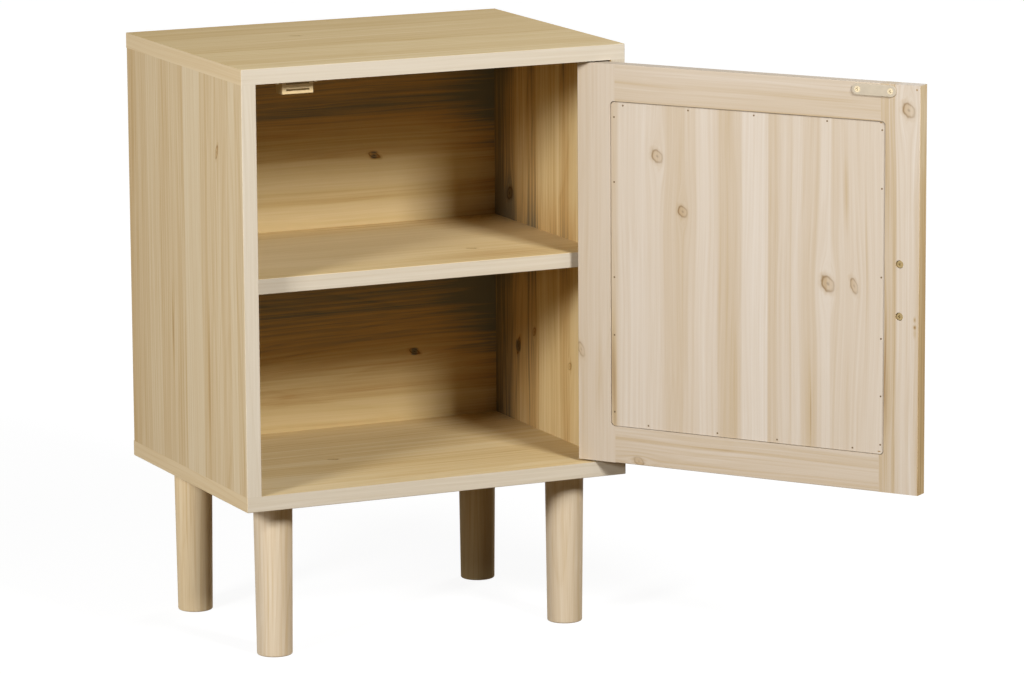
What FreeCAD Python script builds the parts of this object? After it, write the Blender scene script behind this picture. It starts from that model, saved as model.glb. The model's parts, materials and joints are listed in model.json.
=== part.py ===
"""Small storage side table: a softwood cabinet on four turned legs, with one door on pivot pins.

Frame: millimetres, +Z up, origin on the floor under the middle of the carcass. The front faces -Y
and +X is to the right seen from the front. The door is drawn closed, about its own pivot axis,
and then placed by one angle, open_angle, which is its place at rest.
"""

import os
import re

import FreeCAD
import Part
import Sketcher

doc = FreeCAD.newDocument("side_table")

# ---------------------------------------------------------------------------
# Driving dimensions
# ---------------------------------------------------------------------------

SIZES = {
    # carcass
    "cabinet_width": 400.0,
    "cabinet_depth": 300.0,
    "carcass_height": 425.0,
    "board_thickness": 15.0,
    "edge_round": 0.8,
    "side_rear_inset": 1.5,
    # fixed shelf
    "shelf_thickness": 15.0,
    "shelf_clear_below": 189.5,
    "shelf_setback": 26.5,
    # back panel, held in grooves of the four boards
    "back_thickness": 9.0,
    "back_recess": 21.0,
    "groove_depth": 5.0,
    "groove_play": 0.3,
    # legs, and what fastens them
    "leg_length": 152.0,
    "leg_top_diameter": 38.0,
    "leg_foot_diameter": 34.5,
    "leg_foot_round": 1.5,
    "leg_from_side": 45.0,
    "leg_from_edge": 46.5,
    "leg_bolt_diameter": 8.0,
    "leg_bolt_in_leg": 35.0,
    "insert_diameter": 12.0,
    "insert_length": 11.0,
    # glued dowels
    "dowel_diameter": 8.0,
    "dowel_in_face": 9.0,
    "dowel_in_end": 20.0,
    "dowel_from_edge": 38.0,
    "frame_dowel_diameter": 6.0,
    "frame_dowel_depth": 15.0,
    "glue_gap": 0.05,
    "hole_end_gap": 0.5,
    # door frame
    "open_angle": 125.5,
    "door_thickness": 15.0,
    "door_side_gap": 2.0,
    "door_top_gap": 1.5,
    "door_bottom_gap": 2.0,
    "pivot_inset": 13.5,
    "stile_width": 41.0,
    "rail_width": 41.0,
    "rabbet_width": 5.0,
    "rabbet_depth": 7.0,
    "rabbet_corner": 4.0,
    # door panel and the brads along its edges
    "panel_thickness": 6.0,
    "panel_play": 0.6,
    "brad_diameter": 1.2,
    "brad_head_diameter": 1.8,
    "brad_head_height": 0.6,
    "brad_length": 12.0,
    "brad_from_edge": 3.2,
    # pivot pins
    "pin_diameter": 3.0,
    "pin_play": 0.05,
    "pin_end_gap": 0.2,
    "top_pin_in_door": 16.0,
    "sleeve_diameter": 5.0,
    "sleeve_length": 10.0,
    "sleeve_proud": 1.0,
    "bottom_pin_in_board": 10.0,
    "bush_length": 12.0,
    "bush_bore_length": 10.0,
    # strike plate on the door's inner face
    "strike_from_free_edge": 47.7,
    "strike_length": 46.0,
    "strike_height": 11.0,
    "strike_thickness": 1.5,
    "strike_screw_spacing": 34.3,
    "strike_below_catch": 1.4,
    # magnetic catch under the top panel
    "catch_gap": 0.3,
    "catch_width": 31.5,
    "catch_height": 14.0,
    "catch_depth": 15.0,
    "catch_ear_span": 46.0,
    "catch_ear_depth": 8.0,
    "catch_ear_thickness": 2.4,
    "catch_screw_spacing": 38.6,
    "catch_plate_proud": 0.5,
    "catch_wall": 2.0,
    "plate_width": 23.5,
    "plate_thickness": 1.3,
    "plate_depth": 12.0,
    "magnet_thickness": 4.6,
    "magnet_width": 22.0,
    "magnet_depth": 9.0,
    "part_play": 0.1,
    # small countersunk screws of catch and strike plate
    "screw_diameter": 2.8,
    "screw_head_diameter": 6.0,
    "screw_head_height": 1.4,
    "screw_length": 10.0,
    "screw_point_length": 2.0,
    # door pull, and the two machine screws that hold it
    "pull_length": 80.0,
    "pull_width": 18.0,
    "pull_height": 22.0,
    "pull_waist_depth": 3.5,
    "pull_round": 2.0,
    "pull_screw_spacing": 50.0,
    "pull_screw_diameter": 4.0,
    "pull_screw_in_pull": 12.0,
    "pull_screw_head_diameter": 7.0,
    "pull_screw_head_height": 2.6,
    "counterbore_diameter": 8.0,
    "counterbore_depth": 4.0,
    "cross_recess_width": 1.0,
    "cross_recess_depth": 1.0,
}

CARCASS_DOWELS_PER_JOINT = 3
SHELF_DOWELS_PER_JOINT = 2
FRAME_DOWELS_PER_CORNER = 2

# Brads along each side of the door panel, as fractions of that side. They are nailed by eye, so
# their spacing is uneven. Upright sides run from the bottom, the others from the hinge side.
BRADS_HINGE_SIDE = (0.043, 0.282, 0.461, 0.754, 0.953)
BRADS_FREE_SIDE = (0.028, 0.175, 0.349, 0.534, 0.800, 0.975)
BRADS_TOP = (0.044, 0.286, 0.527, 0.792)
BRADS_BOTTOM = (0.138, 0.395, 0.615, 0.889)

sheet = doc.addObject("Spreadsheet::Sheet", "Sizes")
for row, (word, size) in enumerate(SIZES.items(), start=1):
    sheet.set(f"A{row}", word)
    sheet.set(f"B{row}", str(size))
    sheet.setAlias(f"B{row}", word)
doc.recompute()

# Lengths worked out from the sheet, as expressions of its cells.
inner_width = "(cabinet_width - 2 * board_thickness)"
inner_height = "(carcass_height - 2 * board_thickness)"
side_depth = "(cabinet_depth - side_rear_inset)"
back_inner_y = "(cabinet_depth - back_recess - back_thickness)"
groove_in_panel = "(groove_depth - groove_play)"
shelf_depth = f"({back_inner_y} - shelf_setback)"
left = "(-cabinet_width / 2)"
front = "(-cabinet_depth / 2)"
roof = "(leg_length + carcass_height - board_thickness)"
dowel_hole = "(dowel_diameter + 2 * glue_gap)"
face_hole_depth = "(dowel_in_face + hole_end_gap)"
end_hole_depth = "(dowel_in_end + hole_end_gap)"
frame_hole = "(frame_dowel_diameter + 2 * glue_gap)"
frame_hole_depth = "(frame_dowel_depth + hole_end_gap)"

door_width = f"({inner_width} - 2 * door_side_gap)"
door_height = f"({inner_height} - door_top_gap - door_bottom_gap)"
door_floor = "(leg_length + board_thickness + door_bottom_gap)"
pivot_x = "(cabinet_width / 2 - board_thickness - door_side_gap - pivot_inset)"
pivot_y = f"({front} + door_thickness / 2)"
free_edge = f"(pivot_inset - {door_width})"
outer_face = "(-door_thickness / 2)"
inner_face = "(door_thickness / 2)"
pocket_margin_x = "(stile_width - rabbet_width)"
pocket_margin_z = "(rail_width - rabbet_width)"
pocket_width = f"({door_width} - 2 * {pocket_margin_x})"
pocket_height = f"({door_height} - 2 * {pocket_margin_z})"
pocket_left = f"({free_edge} + {pocket_margin_x})"
pocket_floor = f"({inner_face} - rabbet_depth)"
panel_width = f"({pocket_width} - 2 * panel_play)"
panel_height = f"({pocket_height} - 2 * panel_play)"
panel_left = f"({pocket_left} + panel_play)"
panel_bottom = f"({pocket_margin_z} + panel_play)"
panel_inner_face = f"({pocket_floor} + panel_thickness)"

catch_x = f"({left} + board_thickness + door_side_gap + strike_from_free_edge)"
catch_y = f"({front} + door_thickness + strike_thickness + catch_gap + catch_plate_proud)"
plate_offset = "(magnet_thickness / 2 + plate_thickness / 2)"
plate_front = "(-catch_plate_proud)"
strike_x = f"({free_edge} + strike_from_free_edge)"
strike_z = f"({door_height} + door_top_gap - catch_height / 2 - strike_below_catch)"
strike_face = f"({inner_face} + strike_thickness)"
pull_x = f"({free_edge} + stile_width / 2)"
pull_z = f"({door_height} / 2)"


# ---------------------------------------------------------------------------
# Small helpers
# ---------------------------------------------------------------------------

def cells(expression):
    """The expression with each size's word turned into a reference to its cell."""
    return re.sub(r"[a-z][a-z_]*", lambda word: "Sizes." + word.group() if word.group() in SIZES
                  else word.group(), str(expression))


def bind(thing, prop, expression):
    thing.setExpression(prop, cells(expression))


def place(thing, x, y, z):
    """Ties the place of an object to three expressions."""
    for axis, expression in zip("xyz", (x, y, z)):
        bind(thing, f"Placement.Base.{axis}", expression)


def hang_on_pivot(thing):
    """Places what is drawn about the pivot of the closed door at the door's rest angle."""
    thing.Placement = FreeCAD.Placement(FreeCAD.Vector(), FreeCAD.Rotation(FreeCAD.Vector(0, 0, 1), 1))
    bind(thing, "Placement.Rotation.Angle", "open_angle")
    place(thing, pivot_x, pivot_y, door_floor)


def origin_feature(body, role):
    return next(feature for feature in body.Origin.OriginFeatures if feature.Role == role)


def new_sketch(body, plane, height="0"):
    """A sketch on one of the body's own planes, moved by height along +X, +Y or +Z."""
    sketch = body.newObject("Sketcher::SketchObject", body.Label + "_sketch")
    sketch.AttachmentSupport = [(origin_feature(body, plane), "")]
    sketch.MapMode = "FlatFace"
    # The normal of the XZ plane points to -Y, those of the other two to +X and +Z.
    sign = "-" if plane == "XZ_Plane" else ""
    bind(sketch, "AttachmentOffset.Base.z", f"{sign}({height})")
    return sketch


def fix(sketch, kind, *target, to):
    """Adds one constraint whose value is an expression."""
    index = sketch.addConstraint(Sketcher.Constraint(kind, *target, 1.0))
    bind(sketch, f"Constraints[{index}]", to)


def add_circle(sketch, x, y, diameter):
    circle = sketch.addGeometry(Part.Circle(FreeCAD.Vector(0, 0, 0), FreeCAD.Vector(0, 0, 1), 1.0), False)
    fix(sketch, "Diameter", circle, to=diameter)
    fix(sketch, "DistanceX", -1, 1, circle, 3, to=x)
    fix(sketch, "DistanceY", -1, 1, circle, 3, to=y)


def add_polygon(sketch, points):
    """A closed outline through points given as pairs of expressions."""
    count = len(points)
    start = sketch.GeometryCount
    for i in range(count):
        # Any simple outline will do here, because the constraints below move it into place.
        a = FreeCAD.Vector(i, i * i, 0)
        b = FreeCAD.Vector(i + 1, (i + 1) ** 2, 0)
        sketch.addGeometry(Part.LineSegment(a, b), False)
    for i in range(count):
        following = start + (i + 1) % count
        sketch.addConstraint(Sketcher.Constraint("Coincident", start + i, 2, following, 1))
    for i, (x, y) in enumerate(points):
        fix(sketch, "DistanceX", -1, 1, start + i, 1, to=x)
        fix(sketch, "DistanceY", -1, 1, start + i, 1, to=y)


def add_rectangle(sketch, x, y, width, height):
    far_x = f"({x} + {width})"
    far_y = f"({y} + {height})"
    add_polygon(sketch, [(x, y), (far_x, y), (far_x, far_y), (x, far_y)])


def new_body(label):
    body = doc.addObject("PartDesign::Body", label)
    body.Label = label
    return body


def pad(body, sketch, length, down=False):
    """Pads a sketch along +X, +Y or +Z, or the other way with down."""
    feature = body.newObject("PartDesign::Pad", body.Label + "_pad")
    feature.Profile = sketch
    bind(feature, "Length", length)
    on_xz = sketch.AttachmentSupport[0][0].Role == "XZ_Plane"
    feature.Reversed = on_xz != down
    sketch.Visibility = False
    return feature


def cut(body, sketch, depth, forward, taper="0"):
    """Cuts a sketch into the body along the positive axis (forward) or the negative one.

    A taper of some degrees narrows the cut as it goes in.
    """
    doc.recompute()
    before = body.Shape.Volume
    feature = body.newObject("PartDesign::Pocket", body.Label + "_cut")
    feature.Profile = sketch
    bind(feature, "Length", depth)
    on_xz = sketch.AttachmentSupport[0][0].Role == "XZ_Plane"
    feature.Reversed = forward != on_xz
    bind(feature, "TaperAngle", f"-{taper}")
    doc.recompute()
    if not body.Shape.Volume < before:
        raise RuntimeError(f"{feature.Label} of {body.Label} removes nothing")
    return feature


def drill(body, plane, height, points, diameter, depth, forward, taper="0"):
    """Drills equal round holes, or countersinks with a taper, at points of a plane."""
    sketch = new_sketch(body, plane, height)
    for x, y in points:
        add_circle(sketch, x, y, diameter)
    return cut(body, sketch, depth, forward, taper)


def round_edges(body, wanted, radius):
    """Rounds the edges of the body's last shape that the test picks by their ends."""
    doc.recompute()
    base = body.Tip
    box = base.Shape.BoundBox
    names = [f"Edge{i}" for i, edge in enumerate(base.Shape.Edges, start=1) if wanted(edge, box)]
    if not names:
        raise RuntimeError(f"{body.Label} has no such edge to round")
    feature = body.newObject("PartDesign::Fillet", body.Label + "_round")
    feature.Base = (base, names)
    bind(feature, "Radius", radius)
    doc.recompute()
    return feature


def runs_at(edge, box, sides):
    """Whether an edge lies whole in each of the named sides of the box, such as x0 or z1."""
    limits = {"x0": ("x", box.XMin), "x1": ("x", box.XMax), "y0": ("y", box.YMin),
              "y1": ("y", box.YMax), "z0": ("z", box.ZMin), "z1": ("z", box.ZMax)}
    near = 1e-4
    for side in sides:
        axis, limit = limits[side]
        if any(abs(getattr(vertex.Point, axis) - limit) > near for vertex in edge.Vertexes):
            return False
    return len(edge.Vertexes) == 2


def edges_at(*pairs):
    """A test that picks the edges in which two sides of a block meet, such as 'y0 z1'."""
    groups = [pair.split() for pair in pairs]
    return lambda edge, box: any(runs_at(edge, box, group) for group in groups)


UPRIGHT_EDGES = edges_at("x0 y0", "x1 y0", "x0 y1", "x1 y1")
CROSSWISE_EDGES = edges_at("x0 z0", "x1 z0", "x0 z1", "x1 z1")


def block(label, x, y, z, width, depth, height):
    """A body with one corner at x, y, z of its own frame, as a rectangle padded upward."""
    body = new_body(label)
    sketch = new_sketch(body, "XY_Plane", z)
    add_rectangle(sketch, x, y, width, depth)
    pad(body, sketch, height)
    return body


def rod(name, x, y, z, diameter, length, axis="z"):
    """A plain cylinder that starts at x, y, z and runs along a positive axis."""
    turns = {"x": FreeCAD.Rotation(FreeCAD.Vector(0, 1, 0), 90),
             "y": FreeCAD.Rotation(FreeCAD.Vector(1, 0, 0), -90),
             "z": FreeCAD.Rotation()}
    cylinder = doc.addObject("Part::Cylinder", name)
    cylinder.Placement = FreeCAD.Placement(FreeCAD.Vector(), turns[axis])
    bind(cylinder, "Radius", f"({diameter}) / 2")
    bind(cylinder, "Height", length)
    place(cylinder, x, y, z)
    return cylinder


def cone(name, low_diameter, high_diameter, low, height):
    """A cone along Z between two heights."""
    shape = doc.addObject("Part::Cone", name)
    bind(shape, "Radius1", f"({low_diameter}) / 2")
    bind(shape, "Radius2", f"({high_diameter}) / 2")
    bind(shape, "Height", height)
    place(shape, "0", "0", low)
    return shape


def group(label, pieces):
    """Several equal pieces as one named sub-part of separate solids."""
    compound = doc.addObject("Part::Compound", label)
    compound.Label = label
    compound.Links = pieces
    return compound


def spread(first, last, count):
    """Expressions of evenly spaced places between two others."""
    if count == 1:
        return [f"(({first} + {last}) / 2)"]
    return [f"({first} + ({last} - {first}) * {i} / {count - 1})" for i in range(count)]


def cross_recess(name, top):
    """The cross slot of a screw head, as a tool that starts at the head's flat and goes down."""
    bars = []
    for bar, (width, depth) in {"a": ("cross_recess_width", "3 * cross_recess_width"),
                                "b": ("3 * cross_recess_width", "cross_recess_width")}.items():
        slot = doc.addObject("Part::Box", f"{name}_slot_{bar}")
        bind(slot, "Length", width)
        bind(slot, "Width", depth)
        bind(slot, "Height", "2 * cross_recess_depth")
        place(slot, f"-({width}) / 2", f"-({depth}) / 2", f"{top} - cross_recess_depth")
        bars.append(slot)
    tool = doc.addObject("Part::MultiFuse", name + "_recess")
    tool.Shapes = bars
    return tool


def wood_screw(name, pan_head=False):
    """A small screw with its head's flat at z = 0, countersunk or pan, that goes down into the wood."""
    under_head = "screw_head_diameter" if pan_head else "screw_diameter"
    head = cone(name + "_head", under_head, "screw_head_diameter", "-screw_head_height", "screw_head_height")
    shank_length = "(screw_length - screw_head_height - screw_point_length)"
    shank = rod(name + "_shank", "0", "0", "screw_point_length - screw_length", "screw_diameter",
                shank_length)
    point = cone(name + "_point", "screw_diameter / 5", "screw_diameter", "-screw_length",
                 "screw_point_length")
    body = doc.addObject("Part::MultiFuse", name + "_body")
    body.Shapes = [head, shank, point]
    screw = doc.addObject("Part::Cut", name)
    screw.Base = body
    screw.Tool = cross_recess(name, "0")
    return screw


def turn(thing, axis, angle):
    thing.Placement = FreeCAD.Placement(FreeCAD.Vector(), FreeCAD.Rotation(FreeCAD.Vector(*axis), angle))


# ---------------------------------------------------------------------------
# Carcass boards
# ---------------------------------------------------------------------------

parts = []
carcass_rows = spread("dowel_from_edge", f"({side_depth} - dowel_from_edge)", CARCASS_DOWELS_PER_JOINT)
shelf_rows = spread("dowel_from_edge", f"({shelf_depth} - dowel_from_edge)", SHELF_DOWELS_PER_JOINT)
side_lines = {"left": "(board_thickness / 2)", "right": "(cabinet_width - board_thickness / 2)"}
leg_places = {
    "front_left": ("leg_from_side", "leg_from_edge"),
    "front_right": ("(cabinet_width - leg_from_side)", "leg_from_edge"),
    "rear_left": ("leg_from_side", "(cabinet_depth - leg_from_edge)"),
    "rear_right": ("(cabinet_width - leg_from_side)", "(cabinet_depth - leg_from_edge)"),
}
pivot_in_board = (f"({pivot_x} - {left})", f"({pivot_y} - {front})")
catch_screw_places = [(f"({catch_x} - {left} + {side} * catch_screw_spacing / 2)",
                       f"({catch_y} - {front} + catch_ear_depth / 2)") for side in (-1, 1)]


def carcass_board(label, z, joint_face, dowels_forward, groove_forward):
    """The top or the bottom panel: dowel holes and the back panel's groove in its inner face."""
    body = block(label, "0", "0", "0", "cabinet_width", "cabinet_depth", "board_thickness")
    place(body, left, front, z)
    holes = [(line, row) for line in side_lines.values() for row in carcass_rows]
    drill(body, "XY_Plane", joint_face, holes, dowel_hole, face_hole_depth, dowels_forward)
    groove = new_sketch(body, "XY_Plane", joint_face)
    add_rectangle(groove, "(board_thickness - groove_depth)", back_inner_y,
                  f"({inner_width} + 2 * groove_depth)", "back_thickness")
    cut(body, groove, "groove_depth", groove_forward)
    return body


def make_top_panel():
    body = carcass_board("top_panel", roof, "0", True, True)
    drill(body, "XY_Plane", "0", [pivot_in_board], "(sleeve_diameter + 2 * glue_gap)",
          "(sleeve_length + pin_end_gap)", True)
    drill(body, "XY_Plane", "0", catch_screw_places, "(screw_diameter + 2 * glue_gap)",
          "(screw_length - catch_ear_thickness + hole_end_gap)", True)
    round_edges(body, edges_at("y0 z1", "y1 z1", "x0 z1", "x1 z1", "x0 y0", "x1 y0", "x0 y1", "x1 y1"),
                "edge_round")
    return body


def make_bottom_panel():
    body = carcass_board("bottom_panel", "leg_length", "board_thickness", False, False)
    drill(body, "XY_Plane", "board_thickness", [pivot_in_board], "(pin_diameter + 2 * glue_gap)",
          "(bottom_pin_in_board + pin_end_gap)", False)
    drill(body, "XY_Plane", "0", list(leg_places.values()), "(insert_diameter + 2 * glue_gap)",
          "(insert_length + hole_end_gap)", True)
    round_edges(body, edges_at("y0 z0", "y1 z0", "x0 z0", "x1 z0", "x0 y0", "x1 y0", "x0 y1", "x1 y1"),
                "edge_round")
    return body


def make_side_panel(label, x, inner_x, into_panel):
    """A side panel, with its inner face at inner_x of its own frame."""
    body = block(label, "0", "0", "0", "board_thickness", side_depth, inner_height)
    place(body, x, front, "(leg_length + board_thickness)")
    middle = "(board_thickness / 2)"
    ends = [(middle, row) for row in carcass_rows]
    drill(body, "XY_Plane", "0", ends, dowel_hole, end_hole_depth, True)
    drill(body, "XY_Plane", inner_height, ends, dowel_hole, end_hole_depth, False)
    shelf_line = "(shelf_clear_below + shelf_thickness / 2)"
    shelf_holes = [(f"(shelf_setback + {row})", shelf_line) for row in shelf_rows]
    drill(body, "YZ_Plane", inner_x, shelf_holes, dowel_hole, face_hole_depth, into_panel)
    groove = new_sketch(body, "YZ_Plane", inner_x)
    add_rectangle(groove, back_inner_y, "0", "back_thickness", inner_height)
    cut(body, groove, "groove_depth", into_panel)
    round_edges(body, UPRIGHT_EDGES, "edge_round")
    return body


def make_shelf():
    body = block("middle_shelf", "0", "0", "0", inner_width, shelf_depth, "shelf_thickness")
    place(body, f"({left} + board_thickness)", f"({front} + shelf_setback)",
          "(leg_length + board_thickness + shelf_clear_below)")
    ends = [(row, "(shelf_thickness / 2)") for row in shelf_rows]
    drill(body, "YZ_Plane", "0", ends, dowel_hole, end_hole_depth, True)
    drill(body, "YZ_Plane", inner_width, ends, dowel_hole, end_hole_depth, False)
    round_edges(body, edges_at("y0 z0", "y0 z1"), "edge_round")
    return body


def make_back_panel():
    body = block("back_panel", "0", "0", "0", f"({inner_width} + 2 * {groove_in_panel})",
                 "back_thickness", f"({inner_height} + 2 * {groove_in_panel})")
    place(body, f"({left} + board_thickness - {groove_in_panel})", f"({front} + {back_inner_y})",
          f"(leg_length + board_thickness - {groove_in_panel})")
    return body


parts.append(make_top_panel())
parts.append(make_bottom_panel())
parts.append(make_side_panel("left_side_panel", left, "board_thickness", False))
parts.append(make_side_panel("right_side_panel", f"({left} + cabinet_width - board_thickness)", "0", True))
parts.append(make_shelf())
parts.append(make_back_panel())


# ---------------------------------------------------------------------------
# Glued dowels of the carcass
# ---------------------------------------------------------------------------

dowel_length = "(dowel_in_face + dowel_in_end)"
dowel_starts = {"bottom": "(leg_length + board_thickness - dowel_in_face)",
                "top": f"({roof} - dowel_in_end)"}
for level, start in dowel_starts.items():
    for side, line in side_lines.items():
        label = f"{level}_{side}_dowels"
        dowels = [rod(f"{label}_{i}", f"{left} + {line}", f"{front} + {row}", start, "dowel_diameter",
                      dowel_length) for i, row in enumerate(carcass_rows)]
        parts.append(group(label, dowels))

shelf_dowel_starts = {"left": f"({left} + board_thickness - dowel_in_face)",
                      "right": f"({left} + cabinet_width - board_thickness - dowel_in_end)"}
shelf_dowel_height = "(leg_length + board_thickness + shelf_clear_below + shelf_thickness / 2)"
for side, start in shelf_dowel_starts.items():
    label = f"shelf_{side}_dowels"
    dowels = [rod(f"{label}_{i}", start, f"{front} + shelf_setback + {row}", shelf_dowel_height,
                  "dowel_diameter", dowel_length, "x") for i, row in enumerate(shelf_rows)]
    parts.append(group(label, dowels))


# ---------------------------------------------------------------------------
# Legs, their hanger bolts and the threaded inserts in the bottom panel
# ---------------------------------------------------------------------------

def make_leg(label, x, y):
    """A turned leg that tapers to its foot, with the bolt's bore in its top."""
    body = new_body(label)
    profile = new_sketch(body, "XZ_Plane")
    add_polygon(profile, [("0", "0"), ("leg_foot_diameter / 2", "0"),
                          ("leg_top_diameter / 2", "leg_length"), ("0", "leg_length")])
    turned = body.newObject("PartDesign::Revolution", label + "_turned")
    turned.Profile = profile
    turned.ReferenceAxis = (profile, ["V_Axis"])
    turned.Angle = 360.0
    place(body, f"{left} + {x}", f"{front} + {y}", "0")
    drill(body, "XY_Plane", "leg_length", [("0", "0")], "(leg_bolt_diameter + 2 * glue_gap)",
          "(leg_bolt_in_leg + hole_end_gap)", False)
    foot_rim = lambda edge, box: (isinstance(edge.Curve, Part.Circle)
                                  and abs(edge.Vertexes[0].Point.z - box.ZMin) < 1e-4)
    round_edges(body, foot_rim, "leg_foot_round")
    return body


bolts = []
inserts = []
bolt_in_insert = "(insert_length - hole_end_gap)"
for corner, (x, y) in leg_places.items():
    parts.append(make_leg(f"leg_{corner}", x, y))
    at_x = f"({left} + {x})"
    at_y = f"({front} + {y})"
    bolts.append(rod(f"hanger_bolt_{corner}", at_x, at_y, "leg_length - leg_bolt_in_leg",
                     "leg_bolt_diameter", f"leg_bolt_in_leg + {bolt_in_insert}"))
    shell = rod(f"insert_shell_{corner}", at_x, at_y, "leg_length", "insert_diameter", "insert_length")
    bore = rod(f"insert_bore_{corner}", at_x, at_y, "leg_length", "leg_bolt_diameter + 2 * glue_gap",
               "insert_length")
    insert = doc.addObject("Part::Cut", f"insert_{corner}")
    insert.Base = shell
    insert.Tool = bore
    inserts.append(insert)
parts.append(group("leg_hanger_bolts", bolts))
parts.append(group("leg_threaded_inserts", inserts))


# ---------------------------------------------------------------------------
# Magnetic catch under the top panel. Its own frame starts at the middle of its front top edge.
# ---------------------------------------------------------------------------

def make_catch_housing():
    body = new_body("catch_housing")
    ears = new_sketch(body, "XY_Plane")
    add_rectangle(ears, "-catch_ear_span / 2", "0", "catch_ear_span", "catch_ear_depth")
    pad(body, ears, "catch_ear_thickness", down=True)
    round_edges(body, UPRIGHT_EDGES, "(catch_ear_depth / 3)")
    case = new_sketch(body, "XY_Plane")
    add_rectangle(case, "-catch_width / 2", "0", "catch_width", "catch_depth")
    pad(body, case, "catch_height", down=True)
    round_edges(body, edges_at("z0 y0", "z0 y1"), "edge_round")
    slots = new_sketch(body, "XZ_Plane")
    for side in ("-", "+"):
        middle = f"(-catch_height / 2 {side} {plate_offset})"
        add_rectangle(slots, "(-plate_width / 2 - part_play)",
                      f"({middle} - plate_thickness / 2 - part_play)",
                      "(plate_width + 2 * part_play)", "(plate_thickness + 2 * part_play)")
    cut(body, slots, "(plate_depth - catch_plate_proud + part_play)", True)
    chamber = new_sketch(body, "XZ_Plane", "catch_wall")
    add_rectangle(chamber, "(-magnet_width / 2 - part_play)", "(-catch_height / 2 - magnet_thickness / 2)",
                  "(magnet_width + 2 * part_play)", "magnet_thickness")
    cut(body, chamber, "(magnet_depth + 2 * part_play)", True)
    screws = [(f"({side} * catch_screw_spacing / 2)", "(catch_ear_depth / 2)") for side in (-1, 1)]
    drill(body, "XY_Plane", "0", screws, "(screw_diameter + 2 * glue_gap)", "catch_ear_thickness", False)
    place(body, catch_x, catch_y, roof)
    return body


def make_catch_plates():
    plates = []
    for side in ("-", "+"):
        plate = doc.addObject("Part::Box", "pole_plate_low" if side == "-" else "pole_plate_high")
        bind(plate, "Length", "plate_width")
        bind(plate, "Width", "plate_depth")
        bind(plate, "Height", "plate_thickness")
        place(plate, "-plate_width / 2", plate_front,
              f"(-catch_height / 2 {side} {plate_offset} - plate_thickness / 2)")
        plates.append(plate)
    pair = group("catch_pole_plates", plates)
    place(pair, catch_x, catch_y, roof)
    return pair


def make_catch_magnet():
    magnet = doc.addObject("Part::Box", "catch_magnet")
    magnet.Label = "catch_magnet"
    bind(magnet, "Length", "magnet_width")
    bind(magnet, "Width", "magnet_depth")
    bind(magnet, "Height", "magnet_thickness")
    place(magnet, f"({catch_x} - magnet_width / 2)", f"({catch_y} + catch_wall + part_play)",
          f"({roof} - catch_height / 2 - magnet_thickness / 2)")
    return magnet


def make_catch_screws():
    """Two screws that go up through the ears, their heads on the ears' lower faces."""
    screws = []
    for i, side in enumerate((-1, 1)):
        screw = wood_screw(f"catch_screw_{i}", pan_head=True)
        turn(screw, (1, 0, 0), 180)
        place(screw, f"{catch_x} + {side} * catch_screw_spacing / 2", f"{catch_y} + catch_ear_depth / 2",
              f"{roof} - catch_ear_thickness - screw_head_height")
        screws.append(screw)
    return group("catch_screws", screws)


parts.append(make_catch_housing())
parts.append(make_catch_magnet())
parts.append(make_catch_plates())
parts.append(make_catch_screws())


# ---------------------------------------------------------------------------
# Pivot pins. The door's pieces from here on are drawn about the pivot of the closed door, with
# z = 0 at the door's bottom edge, the hinge side at +X and the inner face at +Y.
# ---------------------------------------------------------------------------

def tube(label, z, diameter, length, bore, bore_start, bore_length):
    """A sleeve or a blind bush about the pivot axis."""
    shell = rod(label + "_shell", "0", "0", z, diameter, length)
    hole = rod(label + "_bore", "0", "0", bore_start, bore, bore_length)
    piece = doc.addObject("Part::Cut", label)
    piece.Label = label
    piece.Base = shell
    piece.Tool = hole
    return piece


running_bore = "(pin_diameter + 2 * pin_play)"
underside = f"({door_height} + door_top_gap)"
bush_floor = "(bush_bore_length + pin_end_gap)"

sleeve = tube("top_pivot_sleeve", f"{underside} - sleeve_proud", "sleeve_diameter",
              "sleeve_length + sleeve_proud", running_bore, f"{underside} - sleeve_proud",
              "sleeve_length + sleeve_proud")
place(sleeve, pivot_x, pivot_y, door_floor)
parts.append(sleeve)

bottom_pin = rod("bottom_pivot_pin", pivot_x, pivot_y, "(leg_length + board_thickness - bottom_pin_in_board)",
                 "pin_diameter", "bottom_pin_in_board + door_bottom_gap + bush_bore_length")
bottom_pin.Label = "bottom_pivot_pin"
parts.append(bottom_pin)

top_pin = rod("top_pivot_pin", "0", "0", "0", "pin_diameter",
              "top_pin_in_door + door_top_gap + sleeve_length - pin_end_gap")
top_pin.Label = "top_pivot_pin"
place(top_pin, pivot_x, pivot_y, f"({door_floor} + {door_height} - top_pin_in_door)")
parts.append(top_pin)

bush = tube("bottom_pivot_bush", "0", "sleeve_diameter", "bush_length", running_bore, "0", bush_floor)
hang_on_pivot(bush)
parts.append(bush)


# ---------------------------------------------------------------------------
# Door frame, panel and brads
# ---------------------------------------------------------------------------

def brad_points():
    """The brads' places on the door panel, by side, as pairs across and up."""
    near_x = f"({panel_left} + brad_from_edge)"
    far_x = f"({panel_left} + {panel_width} - brad_from_edge)"
    low_z = f"({panel_bottom} + brad_from_edge)"
    high_z = f"({panel_bottom} + {panel_height} - brad_from_edge)"
    up = lambda share: f"({panel_bottom} + {share} * {panel_height})"
    across = lambda share: f"({panel_left} + {panel_width} - {share} * {panel_width})"
    return {
        "door_free_stile": [(near_x, up(share)) for share in BRADS_FREE_SIDE],
        "door_hinge_stile": [(far_x, up(share)) for share in BRADS_HINGE_SIDE],
        "door_bottom_rail": [(across(share), low_z) for share in BRADS_BOTTOM],
        "door_top_rail": [(across(share), high_z) for share in BRADS_TOP],
    }


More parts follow.
